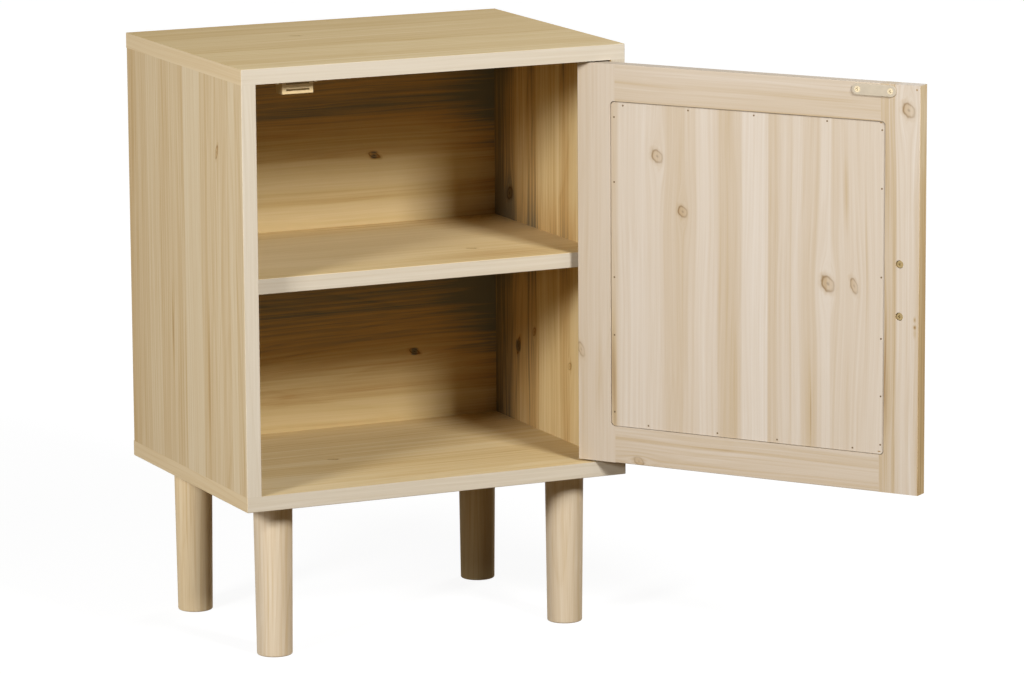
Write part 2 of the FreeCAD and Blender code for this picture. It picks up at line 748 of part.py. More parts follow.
def inside_corner(edge, box):
    """Whether an edge is one of the pocket's corners, which run along Y inside a stile."""
    near = 1e-4
    a, b = (vertex.Point for vertex in edge.Vertexes)
    along_y = abs(a.x - b.x) < near and abs(a.z - b.z) < near
    inside = box.XMin + near < a.x < box.XMax - near and box.ZMin + near < a.z < box.ZMax - near
    return along_y and inside


def cut_panel_pocket(body):
    """Cuts the panel's rabbet from a stile or a rail; its corners, all in the stiles, are rounded."""
    outline = new_sketch(body, "XZ_Plane", inner_face)
    add_rectangle(outline, pocket_left, pocket_margin_z, pocket_width, pocket_height)
    cut(body, outline, "rabbet_depth", False)
    if body.Label.endswith("stile"):
        round_edges(body, inside_corner, "rabbet_corner")
    drill(body, "XZ_Plane", pocket_floor, brad_points()[body.Label], "(brad_diameter + 2 * glue_gap)",
          "(brad_length - panel_thickness + hole_end_gap)", False)


frame_dowel_margin = "(rail_width - rabbet_width)"
frame_dowel_rows = [f"({frame_dowel_margin} * {i + 1} / {FRAME_DOWELS_PER_CORNER + 1})"
                    for i in range(FRAME_DOWELS_PER_CORNER)]
frame_dowel_heights = frame_dowel_rows + [f"({door_height} - {row})" for row in frame_dowel_rows]
frame_dowel_y = f"(({outer_face} + {pocket_floor}) / 2)"
rail_left = f"({free_edge} + stile_width)"
rail_length = f"({door_width} - 2 * stile_width)"
rail_right = f"({rail_left} + {rail_length})"


def make_hinge_stile():
    body = block("door_hinge_stile", "(pivot_inset - stile_width)", outer_face, "0", "stile_width",
                 "door_thickness", door_height)
    hang_on_pivot(body)
    cut_panel_pocket(body)
    rows = [(frame_dowel_y, height) for height in frame_dowel_heights]
    drill(body, "YZ_Plane", rail_right, rows, frame_hole, frame_hole_depth, True)
    drill(body, "XY_Plane", door_height, [("0", "0")], "(pin_diameter + 2 * glue_gap)",
          "(top_pin_in_door + pin_end_gap)", False)
    drill(body, "XY_Plane", "0", [("0", "0")], "(sleeve_diameter + 2 * glue_gap)",
          "(bush_length + pin_end_gap)", True)
    round_edges(body, edges_at("x1 y0", "x1 y1"), "edge_round")
    return body


def make_free_stile():
    body = block("door_free_stile", free_edge, outer_face, "0", "stile_width", "door_thickness", door_height)
    hang_on_pivot(body)
    cut_panel_pocket(body)
    rows = [(frame_dowel_y, height) for height in frame_dowel_heights]
    drill(body, "YZ_Plane", rail_left, rows, frame_hole, frame_hole_depth, False)
    screws = [(pull_x, f"({pull_z} + {side} * pull_screw_spacing / 2)") for side in (-1, 1)]
    drill(body, "XZ_Plane", inner_face, screws, "counterbore_diameter", "counterbore_depth", False)
    drill(body, "XZ_Plane", inner_face, screws, "(pull_screw_diameter + 2 * glue_gap)", "door_thickness",
          False)
    strike_hole = (f"({strike_x} - strike_screw_spacing / 2)", strike_z)
    drill(body, "XZ_Plane", inner_face, [strike_hole], "(screw_diameter + 2 * glue_gap)",
          "(screw_length - strike_thickness + hole_end_gap)", False)
    round_edges(body, edges_at("x0 y0", "x0 y1"), "edge_round")
    return body


def make_rail(label, z, outer_side):
    body = block(label, rail_left, outer_face, z, rail_length, "door_thickness", "rail_width")
    hang_on_pivot(body)
    cut_panel_pocket(body)
    top = outer_side == "z1"
    heights = frame_dowel_heights[FRAME_DOWELS_PER_CORNER:] if top else frame_dowel_rows
    rows = [(frame_dowel_y, height) for height in heights]
    drill(body, "YZ_Plane", rail_left, rows, frame_hole, frame_hole_depth, True)
    drill(body, "YZ_Plane", rail_right, rows, frame_hole, frame_hole_depth, False)
    if top:
        strike_hole = (f"({strike_x} + strike_screw_spacing / 2)", strike_z)
        drill(body, "XZ_Plane", inner_face, [strike_hole], "(screw_diameter + 2 * glue_gap)",
              "(screw_length - strike_thickness + hole_end_gap)", False)
    round_edges(body, edges_at(f"y0 {outer_side}", f"y1 {outer_side}"), "edge_round")
    return body


def make_door_panel():
    body = new_body("door_panel")
    outline = new_sketch(body, "XZ_Plane", pocket_floor)
    add_rectangle(outline, panel_left, panel_bottom, panel_width, panel_height)
    pad(body, outline, "panel_thickness")
    round_edges(body, CROSSWISE_EDGES, "rabbet_corner")
    hang_on_pivot(body)
    points = [point for side in brad_points().values() for point in side]
    drill(body, "XZ_Plane", panel_inner_face, points, "(brad_head_diameter + 2 * glue_gap)",
          "brad_head_height", False)
    drill(body, "XZ_Plane", panel_inner_face, points, "(brad_diameter + 2 * glue_gap)",
          "panel_thickness", False)
    return body


def make_brads():
    brads = []
    for label, points in brad_points().items():
        for i, (x, z) in enumerate(points):
            name = f"brad_{label}_{i}"
            shank = rod(name + "_shank", x, f"({panel_inner_face} - brad_length)", z, "brad_diameter",
                        "brad_length", "y")
            head = rod(name + "_head", x, f"({panel_inner_face} - brad_head_height)", z,
                       "brad_head_diameter", "brad_head_height", "y")
            brad = doc.addObject("Part::Fuse", name)
            brad.Base = shank
            brad.Tool = head
            brads.append(brad)
    nails = group("door_panel_brads", brads)
    hang_on_pivot(nails)
    return nails


def make_frame_dowels():
    dowels = []
    starts = {"free": f"({rail_left} - frame_dowel_depth)", "hinge": f"({rail_right} - frame_dowel_depth)"}
    for side, start in starts.items():
        for i, height in enumerate(frame_dowel_heights):
            dowels.append(rod(f"frame_dowel_{side}_{i}", start, frame_dowel_y, height,
                              "frame_dowel_diameter", "2 * frame_dowel_depth", "x"))
    joined = group("door_frame_dowels", dowels)
    hang_on_pivot(joined)
    return joined


parts.append(make_hinge_stile())
parts.append(make_free_stile())
parts.append(make_rail("door_top_rail", f"({door_height} - rail_width)", "z1"))
parts.append(make_rail("door_bottom_rail", "0", "z0"))
parts.append(make_door_panel())
parts.append(make_brads())
parts.append(make_frame_dowels())


# ---------------------------------------------------------------------------
# Strike plate, door pull and their screws
# ---------------------------------------------------------------------------

def make_strike_plate():
    body = new_body("strike_plate")
    outline = new_sketch(body, "XZ_Plane", inner_face)
    add_rectangle(outline, f"({strike_x} - strike_length / 2)", f"({strike_z} - strike_height / 2)",
                  "strike_length", "strike_height")
    pad(body, outline, "strike_thickness")
    round_edges(body, CROSSWISE_EDGES, "(strike_height / 2 - part_play)")
    hang_on_pivot(body)
    outer_rim = lambda edge, box: runs_at(edge, box, ["y1"])
    round_edges(body, outer_rim, "(strike_thickness / 3)")
    screws = [(f"({strike_x} + {side} * strike_screw_spacing / 2)", strike_z) for side in (-1, 1)]
    drill(body, "XZ_Plane", strike_face, screws, "(screw_head_diameter + 2 * glue_gap)",
          "screw_head_height", False, "atan((screw_head_diameter - screw_diameter) / 2 / screw_head_height)")
    drill(body, "XZ_Plane", strike_face, screws, "(screw_diameter + 2 * glue_gap)", "strike_thickness", False)
    return body


def make_strike_screws():
    screws = []
    for i, side in enumerate((-1, 1)):
        screw = wood_screw(f"strike_screw_{i}")
        turn(screw, (1, 0, 0), -90)
        place(screw, f"{strike_x} + {side} * strike_screw_spacing / 2", strike_face, strike_z)
        screws.append(screw)
    pair = group("strike_screws", screws)
    hang_on_pivot(pair)
    return pair


def make_pull():
    """A solid wooden pull whose long sides are scooped for the fingers, on the door's outer face."""
    body = new_body("door_pull")
    section = new_sketch(body, "XY_Plane", f"({pull_z} - pull_length / 2)")
    half = "(pull_width / 2)"
    base = outer_face
    waist = f"({outer_face} - pull_height * 2 / 5)"
    shoulder = f"({outer_face} - pull_height * 3 / 4)"
    tip = f"({outer_face} - pull_height)"
    narrow = "(pull_width / 2 - pull_waist_depth)"
    add_polygon(section, [
        (f"({pull_x} - {half})", base), (f"({pull_x} - {narrow})", waist), (f"({pull_x} - {half})", shoulder),
        (f"({pull_x} - {half})", tip), (f"({pull_x} + {half})", tip), (f"({pull_x} + {half})", shoulder),
        (f"({pull_x} + {narrow})", waist), (f"({pull_x} + {half})", base)])
    pad(body, section, "pull_length")
    hang_on_pivot(body)
    grip_face_rim = lambda edge, box: runs_at(edge, box, ["y0"])
    round_edges(body, grip_face_rim, "pull_round")
    screws = [(pull_x, f"({pull_z} + {side} * pull_screw_spacing / 2)") for side in (-1, 1)]
    drill(body, "XZ_Plane", outer_face, screws, "(pull_screw_diameter + 2 * glue_gap)",
          "(pull_screw_in_pull + hole_end_gap)", False)
    return body


def make_pull_screws():
    """Two machine screws whose pan heads sit in the counterbores of the free stile."""
    screws = []
    seat = f"({inner_face} - counterbore_depth)"
    shank_length = f"({seat} - {outer_face} + pull_screw_in_pull)"
    for i, side in enumerate((-1, 1)):
        name = f"pull_screw_{i}"
        head = rod(name + "_head", "0", "0", "0", "pull_screw_head_diameter", "pull_screw_head_height")
        shank = rod(name + "_shank", "0", "0", f"-{shank_length}", "pull_screw_diameter", shank_length)
        body = doc.addObject("Part::MultiFuse", name + "_body")
        body.Shapes = [head, shank]
        screw = doc.addObject("Part::Cut", name)
        screw.Base = body
        screw.Tool = cross_recess(name, "pull_screw_head_height")
        turn(screw, (1, 0, 0), -90)
        place(screw, pull_x, seat, f"{pull_z} + {side} * pull_screw_spacing / 2")
        screws.append(screw)
    pair = group("door_pull_screws", screws)
    hang_on_pivot(pair)
    return pair


parts.append(make_strike_plate())
parts.append(make_strike_screws())
parts.append(make_pull())
parts.append(make_pull_screws())


# ---------------------------------------------------------------------------
# Check and write
# ---------------------------------------------------------------------------

doc.recompute()
for thing in doc.Objects:
    if "Invalid" in thing.State or "Error" in thing.State:
        raise RuntimeError(f"{thing.Label} is in state {thing.State}")
for part in parts:
    if part.Shape.isNull() or not part.Shape.isValid() or not part.Shape.Solids:
        raise RuntimeError(f"{part.Label} has no valid solid")

os.makedirs("parts", exist_ok=True)
for part in parts:
    part.Shape.exportStep(os.path.join("parts", part.Label + ".step"))
    print(part.Label, len(part.Shape.Solids), round(part.Shape.Volume, 1))
print(len(parts), "sub-parts written")
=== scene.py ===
"""Finish, light and view of a small softwood side table with one door.

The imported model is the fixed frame: every board, fixing and fitting keeps its shape and place, and
gets the finish of the real material. Lengths in the material functions are millimetres, because
grain, knots and turning marks are measured that way; places in the scene are metres.
"""

import json
import math

import bpy
from mathutils import Matrix, Vector

bl_info = {
    "name": "Side Table Finish",
    "version": (1, 0, 0),
    "blender": (4, 5, 0),
    "location": "3D View > Sidebar > Side Table",
    "description": "Wood, metal and plastic finishes, light and camera for a small side table",
    "category": "Object",
}

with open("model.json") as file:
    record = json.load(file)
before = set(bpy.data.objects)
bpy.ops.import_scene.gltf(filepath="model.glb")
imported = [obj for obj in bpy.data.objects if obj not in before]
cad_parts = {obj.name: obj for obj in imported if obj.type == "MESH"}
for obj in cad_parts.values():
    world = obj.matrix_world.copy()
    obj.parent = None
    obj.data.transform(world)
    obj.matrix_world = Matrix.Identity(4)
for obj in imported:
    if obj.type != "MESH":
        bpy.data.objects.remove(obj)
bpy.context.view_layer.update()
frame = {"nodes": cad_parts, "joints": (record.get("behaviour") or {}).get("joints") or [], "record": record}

NODES = frame["nodes"]
HINGE = frame["joints"][0]
PIVOT = Vector(HINGE["pos_m"])
REST_ANGLE = math.radians(-HINGE["range_deg"][0])
CLOSING_TURN = Matrix.Rotation(-REST_ANGLE, 4, "Z")
DOOR_NODES = set(frame["record"]["behaviour"]["bodies"]["door"])
MM = 1000.0
WHITE = (1.0, 1.0, 1.0, 1.0)


# ---------------------------------------------------------------------------
# Sizes and colours that a user would change
# ---------------------------------------------------------------------------

def linear(hex_colour):
    """An sRGB hex colour as the linear RGBA that shaders use."""
    channels = [int(hex_colour[i:i + 2], 16) / 255 for i in (1, 3, 5)]
    return tuple([c / 12.92 if c <= 0.04045 else ((c + 0.055) / 1.055) ** 2.4 for c in channels] + [1.0])


def colour_property(name, description, hex_colour):
    return bpy.props.FloatVectorProperty(name=name, description=description, subtype="COLOR", size=4,
                                         min=0.0, max=1.0, default=linear(hex_colour))


class SideTableWood(bpy.types.PropertyGroup):
    dark_line: colour_property("Dark line", "Late wood of a strong ring", "#8F6E40")
    knot_rim: colour_property("Knot rim", "What the bark ring of a knot darkens the wood to", "#A8916A")
    knot_core: colour_property("Knot core", "What the inside of a knot tints the wood to", "#DFCBA6")
    ring_spacing: bpy.props.FloatProperty(
        name="Ring spacing", description="Width of one year's growth", default=0.0052,
        min=0.001, max=0.02, subtype="DISTANCE", unit="LENGTH")
    fibre_width: bpy.props.FloatProperty(
        name="Fibre width", description="Width of the finest streaks that show", default=0.0012,
        min=0.0002, max=0.005, subtype="DISTANCE", unit="LENGTH")
    roughness: bpy.props.FloatProperty(
        name="Roughness", description="How dull the thin lacquer is", default=0.68,
        min=0.0, max=1.0, subtype="FACTOR")


# The wood of each kind of face, from pale to tan. A fourth colour is its darkest wood; where there is
# none, the dark line is. Besides the wood's own tone, the palettes carry painted light and shade: the
# door and the front edges, which the lamps light most, are paler and greyer, and the inner faces are
# more golden, as wood in shade looks. The shade palette is painted shade on the undersides and the
# left side's inner face, and the darkest wood of the inner and back palettes is painted shadow. The
# rear left leg's palette is a lighter copy, painted light, and the rear right leg's is a darker one,
# painted shade.
PALETTES = {
    "door": ("the door", "#D7CEC3", "#CBBDAB", "#BEAA8C"),
    "outer": ("the outside faces", "#DACBAE", "#D0BC99", "#BFA478"),
    "side": ("the right and rear faces", "#DACBAE", "#D0BC99", "#C4AA7F", "#B8996A"),
    "top": ("the top and the bottom's upper face", "#E5D3AE", "#DBC393", "#CAAB72"),
    "inner": ("the shelf and the right side's inner face", "#E9D1A3", "#E0C692", "#C8A369", "#7A6B50"),
    "back": ("the back's inner face", "#D8C192", "#CFB682", "#BA955D", "#75705F"),
    "shade": ("the undersides and the left side's inner face", "#B5A58A", "#A89878", "#968562"),
    "end": ("the board ends", "#DECCAC", "#D7C29D", "#CDB48B"),
    "edge": ("the front edges", "#CFC5B4", "#C6BAA5", "#B7A68A"),
    "front_leg": ("the front legs", "#E1D5C1", "#D5C4AA", "#C6AE88"),
    "rear_left_leg": ("the rear left leg", "#F0E1C3", "#E6D1AC", "#D6BA8B"),
    "rear_right_leg": ("the rear right leg", "#CDB68B", "#C3A97B", "#B69563"),
}
SHADES = {"pale": "Palest wood", "mid": "Mid tone", "tan": "Tan streaks", "deep": "Darkest wood"}

for palette, (faces, *colours) in PALETTES.items():
    for (shade, words), hex_colour in zip(SHADES.items(), colours):
        SideTableWood.__annotations__[f"{palette}_{shade}"] = colour_property(
            f"{palette}, {shade}".replace("_", " ").capitalize(), f"{words} of {faces}", hex_colour)


class SideTableFittings(bpy.types.PropertyGroup):
    ivory: colour_property("Ivory", "Moulded housing of the catch", "#DFC594")
    enamel: colour_property("Enamel", "Enamelled strike plate", "#BDB19C")
    nylon: colour_property("Nylon", "Natural nylon of the pivot's sleeve and bush", "#E9E1D0")
    zinc: colour_property("Zinc", "Bright zinc plating of the fixings", "#CFCBC2")
    dull_zinc: colour_property("Dull zinc", "Passivated plating of the catch's screws", "#9E8A68")
    nickel: colour_property("Nickel", "Nickel plating of the strike plate's screws", "#C8B899")
    yellow_zinc: colour_property("Yellow zinc", "Yellow zinc plating of the pull's screws", "#97835C")
    # The pole plates' steel is darkened to a brown: painted shade of the catch's slot.
    dark_steel_painted_shade: colour_property("Blued steel", "Pole plates of the catch", "#5A4628")
    brad: colour_property("Brad", "Dull steel of the panel brads", "#6E5C45")
    ferrite: colour_property("Ferrite", "Magnet of the catch", "#262422")
    beech: colour_property("Beech", "Dowels", "#C9A777")
    beech_fleck: colour_property("Beech fleck", "Short dark flecks of the dowels", "#8F6A45")


class SideTableStage(bpy.types.PropertyGroup):
    camera_place: bpy.props.FloatVectorProperty(
        name="Camera place", description="Where the camera stands", size=3, subtype="TRANSLATION",
        unit="LENGTH", default=(-2.11764, -4.89024, 1.28919))
    camera_heading: bpy.props.FloatProperty(
        name="Camera heading", description="Turn of the view to the right of straight on",
        default=math.radians(24.8528), subtype="ANGLE", unit="ROTATION")
    camera_dip: bpy.props.FloatProperty(
        name="Camera dip", description="How far the view points down",
        default=math.radians(10.7333), subtype="ANGLE", unit="ROTATION")
    camera_roll: bpy.props.FloatProperty(
        name="Camera roll", description="Tilt of the camera about its own view",
        default=math.radians(-0.3596), subtype="ANGLE", unit="ROTATION")
    lens: bpy.props.FloatProperty(
        name="Lens", description="Focal length on a 36 mm wide sensor", default=193.55,
        min=20.0, max=400.0, subtype="DISTANCE_CAMERA")
    key_power: bpy.props.FloatProperty(
        name="Key power", description="Soft box at the front left", default=55.0, min=0.0, unit="POWER")
    front_power: bpy.props.FloatProperty(
        name="Front power", description="Soft box at the front right", default=72.0, min=0.0,
        unit="POWER")
    side_power: bpy.props.FloatProperty(
        name="Side power", description="Low soft box at the left", default=7.5, min=0.0, unit="POWER")
    rear_power: bpy.props.FloatProperty(
        name="Rear power", description="Soft box at the rear right", default=12.0, min=0.0,
        unit="POWER")
    ambient: bpy.props.FloatProperty(
        name="Ambient", description="Even light from all around", default=0.004, min=0.0, max=2.0)
    paper: colour_property("Paper", "How much light and shadow the floor shows", "#6E6E6E")
    bounce: colour_property("Bounce", "Colour of the light that the floor throws back", "#7C6848")
    floor_lift: bpy.props.FloatProperty(
        name="Floor lift", description="Brightness the white floor is shown with", default=0.92,
        min=0.0, max=2.0)


# ---------------------------------------------------------------------------
# Node helpers
# ---------------------------------------------------------------------------

def feed(tree, node, inputs):
    """Gives each named input of a node a value, or joins it to the output socket of another node."""
    for key, value in inputs.items():
        socket = node.inputs[key]
        if isinstance(value, bpy.types.NodeSocket):
            tree.links.new(value, socket)
        else:
            socket.default_value = value


def add_node(tree, kind, inputs=None, **settings):
    """Adds one node with its settings and inputs."""
    node = tree.nodes.new(kind)
    for name, value in settings.items():
        setattr(node, name, value)
    feed(tree, node, inputs or {})
    return node


def maths(tree, operation, *values, clamp=False):
    """The result of one maths node."""
    return add_node(tree, "ShaderNodeMath", dict(enumerate(values)), operation=operation,
                    use_clamp=clamp).outputs[0]


def vector_maths(tree, operation, *values):
    """The result of one vector maths node; a length or a dot product is a number."""
    node = add_node(tree, "ShaderNodeVectorMath", dict(enumerate(values)), operation=operation)
    return node.outputs["Value" if operation in ("LENGTH", "DOT_PRODUCT") else "Vector"]


def combined(tree, *parts):
    return add_node(tree, "ShaderNodeCombineXYZ", dict(enumerate(parts))).outputs[0]


def separated(tree, vector):
    return add_node(tree, "ShaderNodeSeparateXYZ", {0: vector}).outputs[:]


def remapped(tree, value, to_low, to_high, from_low=0.0, from_high=1.0, kind="LINEAR"):
    """A value moved from one range to another."""
    return add_node(tree, "ShaderNodeMapRange", {
        "Value": value, "From Min": from_low, "From Max": from_high, "To Min": to_low,
        "To Max": to_high}, interpolation_type=kind).outputs[0]


def noise(tree, place, output="Fac", scale=1.0, detail=2.0, roughness=0.5):
    return add_node(tree, "ShaderNodeTexNoise", {
        "Vector": place, "Scale": scale, "Detail": detail, "Roughness": roughness}).outputs[output]


def ramp(tree, factor, stops, interpolation="LINEAR"):
    """A colour ramp; its stops are pairs of place and colour, or of place and grey."""
    node = add_node(tree, "ShaderNodeValToRGB", {"Fac": factor})
    elements = node.color_ramp.elements
    node.color_ramp.interpolation = interpolation
    while len(elements) > 1:
        elements.remove(elements[-1])
    for i, (place, shade) in enumerate(stops):
        stop = elements[0] if i == 0 else elements.new(place)
        stop.position = place
        stop.color = shade if isinstance(shade, tuple) else (shade, shade, shade, 1.0)
    return node.outputs["Color"]


def mixed(tree, factor, first, second, blend="MIX"):
    """A colour between two others."""
    return add_node(tree, "ShaderNodeMix", {"Factor": factor, "A": first, "B": second},
                    data_type="RGBA", blend_type=blend).outputs["Result"]


def object_place(tree):
    return add_node(tree, "ShaderNodeTexCoord").outputs["Object"]


def new_material(name):
    """An empty material with a principled shader joined to its output."""
    material = bpy.data.materials.new(name)
    material.use_nodes = True
    tree = material.node_tree
    tree.nodes.clear()
    shader = add_node(tree, "ShaderNodeBsdfPrincipled")
    add_node(tree, "ShaderNodeOutputMaterial", {"Surface": shader.outputs["BSDF"]})
    return material, tree, shader


def dress(node_name, material):
    """Puts a material on a CAD node."""
    for slot in NODES[node_name].material_slots:
        slot.material = material


# ---------------------------------------------------------------------------
# Board coordinates
# ---------------------------------------------------------------------------

def closed_door(point):
    """A point of the door as it lies when the door is closed, measured from the pivot."""
    return CLOSING_TURN @ (point - PIVOT)


def box_of(*node_names):
    """Lowest and highest corner of some nodes, in metres; of door pieces, with the door closed."""
    points = []
    for name in node_names:
        corners = [vertex.co for vertex in NODES[name].data.vertices]
        points += [closed_door(point) for point in corners] if name in DOOR_NODES else corners
    low = Vector([min(point[i] for point in points) for i in range(3)])
    high = Vector([max(point[i] for point in points) for i in range(3)])
    return low, high


CARCASS_BOX = box_of("bottom_panel", "top_panel")
DOOR_BOX = box_of("door_hinge_stile", "door_free_stile")
# Heights on the door count from the underside of the carcass too.
DOOR_BOX[0].z = CARCASS_BOX[0].z - PIVOT.z


class Board:
    """How a board's grain lies: across, along and through it, as axes such as "y" or "-x".

    Places on it are millimetres from the low corner of the carcass or the door: from the left, the
    front and the bottom, or, for an axis with a minus, from the other end.
    """

    def __init__(self, node_name, across, along, through):
        self.node_name = node_name
        self.axes = (across, along, through)
        if node_name.startswith("leg"):
            self.low, self.high = box_of(node_name)
        else:
            self.low, self.high = DOOR_BOX if node_name in DOOR_NODES else CARCASS_BOX
        self.width = (self.high - self.low)["xyz".index(across[-1])] * MM

    def place(self, tree):
        """A vector in millimetres: across the board, along its grain, through it."""
        place = object_place(tree)
        if self.node_name in DOOR_NODES:
            place = add_node(tree, "ShaderNodeMapping", {
                "Vector": place, "Location": tuple(-(CLOSING_TURN @ PIVOT)),
                "Rotation": (0.0, 0.0, -REST_ANGLE)}).outputs[0]
        signs = {axis[-1]: -1.0 if axis.startswith("-") else 1.0 for axis in self.axes}
        start = [(self.low if signs[axis] > 0 else self.high)["xyz".index(axis)] for axis in "xyz"]
        scale = [signs[axis] * MM for axis in "xyz"]
        in_mm = vector_maths(tree, "MULTIPLY", vector_maths(tree, "SUBTRACT", place, start), scale)
        parts = separated(tree, in_mm)
        return combined(tree, *[parts["xyz".index(axis[-1])] for axis in self.axes])


# ---------------------------------------------------------------------------
# Softwood
# ---------------------------------------------------------------------------

NUMBER = "NodeSocketFloat"
VECTOR = "NodeSocketVector"
NOISE_RANGE = (0.3, 0.7)  # noise seldom leaves it

# The figure of the wood: widths across and lengths along the grain, in millimetres.
WANDER_SIZE = (60.0, 300.0)
WANDER = 12.0
PITH_SPREAD = 170.0
PITH_DEPTH = 75.0
LOG_SLOPE = 0.09
BAND_WIDTH = 11.0
FIBRE_LENGTH = 140.0
LINE_SIZE = (3.0, 450.0)
# How much of its full tone a ring gets, from a poor year to a good one.
YEAR_STRENGTH = (0.25, 1.0)
FIBRE_TONE = 0.1
LINE_TONE = 0.12
# Steps that keep the strips of a board apart in the random patterns.
WANDER_STEP = 13.7
BAND_STEP = 3.1
STRIP_STEP = 0.37

# A knot: how far its branch leans, its lumps in a millimetre and what they do to its radius, how
# much further along than across the grain parts, and how strongly and how softly it does so.
KNOT_LEAN = 0.3
KNOT_LUMPS = 0.16  # one every 6 mm
KNOT_UNEVENNESS = (0.72, 1.28)
KNOT_REACH = 3.2
KNOT_BEND = 1.1
KNOT_SOFTNESS = 0.4
# The bark ring is darker on one side than on the other.
RING_SIDES = (1.2, 0.5)

LACQUER_IOR = 1.48
LACQUER_SHINE = 0.22
FIBRE_GLOSS = (-0.05, 0.06)
FIBRE_RELIEF = 0.00015
RELIEF_STRENGTH = 0.25
# A face takes another palette if the cosine of its angle to the given direction is over this.
FACING_COSINE = 0.7


def group_with(name, inputs, outputs):
    """A node group with its sockets, its given values and the node that takes its results."""
    tree = bpy.data.node_groups.new(name, "ShaderNodeTree")
    for in_out, sockets in (("INPUT", inputs), ("OUTPUT", outputs)):
        for socket_name, kind in sockets.items():
            tree.interface.new_socket(socket_name, in_out=in_out, socket_type=kind)
    return tree, add_node(tree, "NodeGroupInput").outputs, add_node(tree, "NodeGroupOutput")


def knot_group():
    """A branch that runs through the board: the grain parts round it.

    Place and Centre are millimetres of the board, and Radius is half the knot's width across the
    grain. Distance is 1 at the knot's edge, and Side goes from -1 to 1 across it.
    """
    tree, given, result = group_with(
        "Knot", {"Place": VECTOR, "Centre": VECTOR, "Radius": NUMBER, "Stretch": NUMBER, "Bend": NUMBER},
        {"Place": VECTOR, "Distance": NUMBER, "Side": NUMBER})
    away = vector_maths(tree, "SUBTRACT", given["Place"], given["Centre"])
    across, along, _ = separated(tree, away)

    # A branch leans, so the saw cuts it in a slanted oval, and a knot is never quite round.
    slanted = maths(tree, "MULTIPLY_ADD", along, KNOT_LEAN, across)
    oval = combined(tree, slanted, maths(tree, "DIVIDE", along, given["Stretch"]))
    share = maths(tree, "DIVIDE", vector_maths(tree, "LENGTH", oval), given["Radius"])
    uneven = remapped(tree, noise(tree, away, scale=KNOT_LUMPS, detail=1.0), *KNOT_UNEVENNESS)

    # The grain closes again further along than the knot itself reaches.
    reach = combined(tree, across, maths(tree, "DIVIDE", along, KNOT_REACH))
    near = maths(tree, "DIVIDE", vector_maths(tree, "LENGTH", reach), given["Radius"])
    softened = maths(tree, "ADD", maths(tree, "POWER", near, 2.0), KNOT_SOFTNESS)
    pull = maths(tree, "DIVIDE", given["Bend"], softened)
    shift = combined(tree, maths(tree, "MULTIPLY", across, pull))
    feed(tree, result, {"Place": vector_maths(tree, "SUBTRACT", given["Place"], shift),
                        "Distance": maths(tree, "MULTIPLY", share, uneven),
                        "Side": maths(tree, "DIVIDE", across, given["Radius"])})
    return tree


def streak_group():
    """A soft streak along the grain: it adds its strength on its middle line and nothing at its edge. Wide
    ones also paint shade, and with a negative strength light.
    """
    tree, given, result = group_with(
        "Streak", {"Place": VECTOR, "Centre": VECTOR, "Half Size": VECTOR, "Strength": NUMBER,
                   "Tone": NUMBER}, {"Tone": NUMBER})
    away = vector_maths(tree, "SUBTRACT", given["Place"], given["Centre"])
    share = vector_maths(tree, "DIVIDE", away, given["Half Size"])
    flat = vector_maths(tree, "MULTIPLY", share, (1.0, 1.0, 0.0))
    amount = remapped(tree, vector_maths(tree, "LENGTH", flat), 0.0, 1.0, 1.0, 0.0, "SMOOTHSTEP")
    feed(tree, result, {"Tone": maths(tree, "MULTIPLY_ADD", amount, given["Strength"], given["Tone"])})
    return tree


def pattern_scale(width, length):
    """What turns a board's millimetres into the places of a pattern with this width and length."""
    return (1 / width, 1 / length, 1 / width)


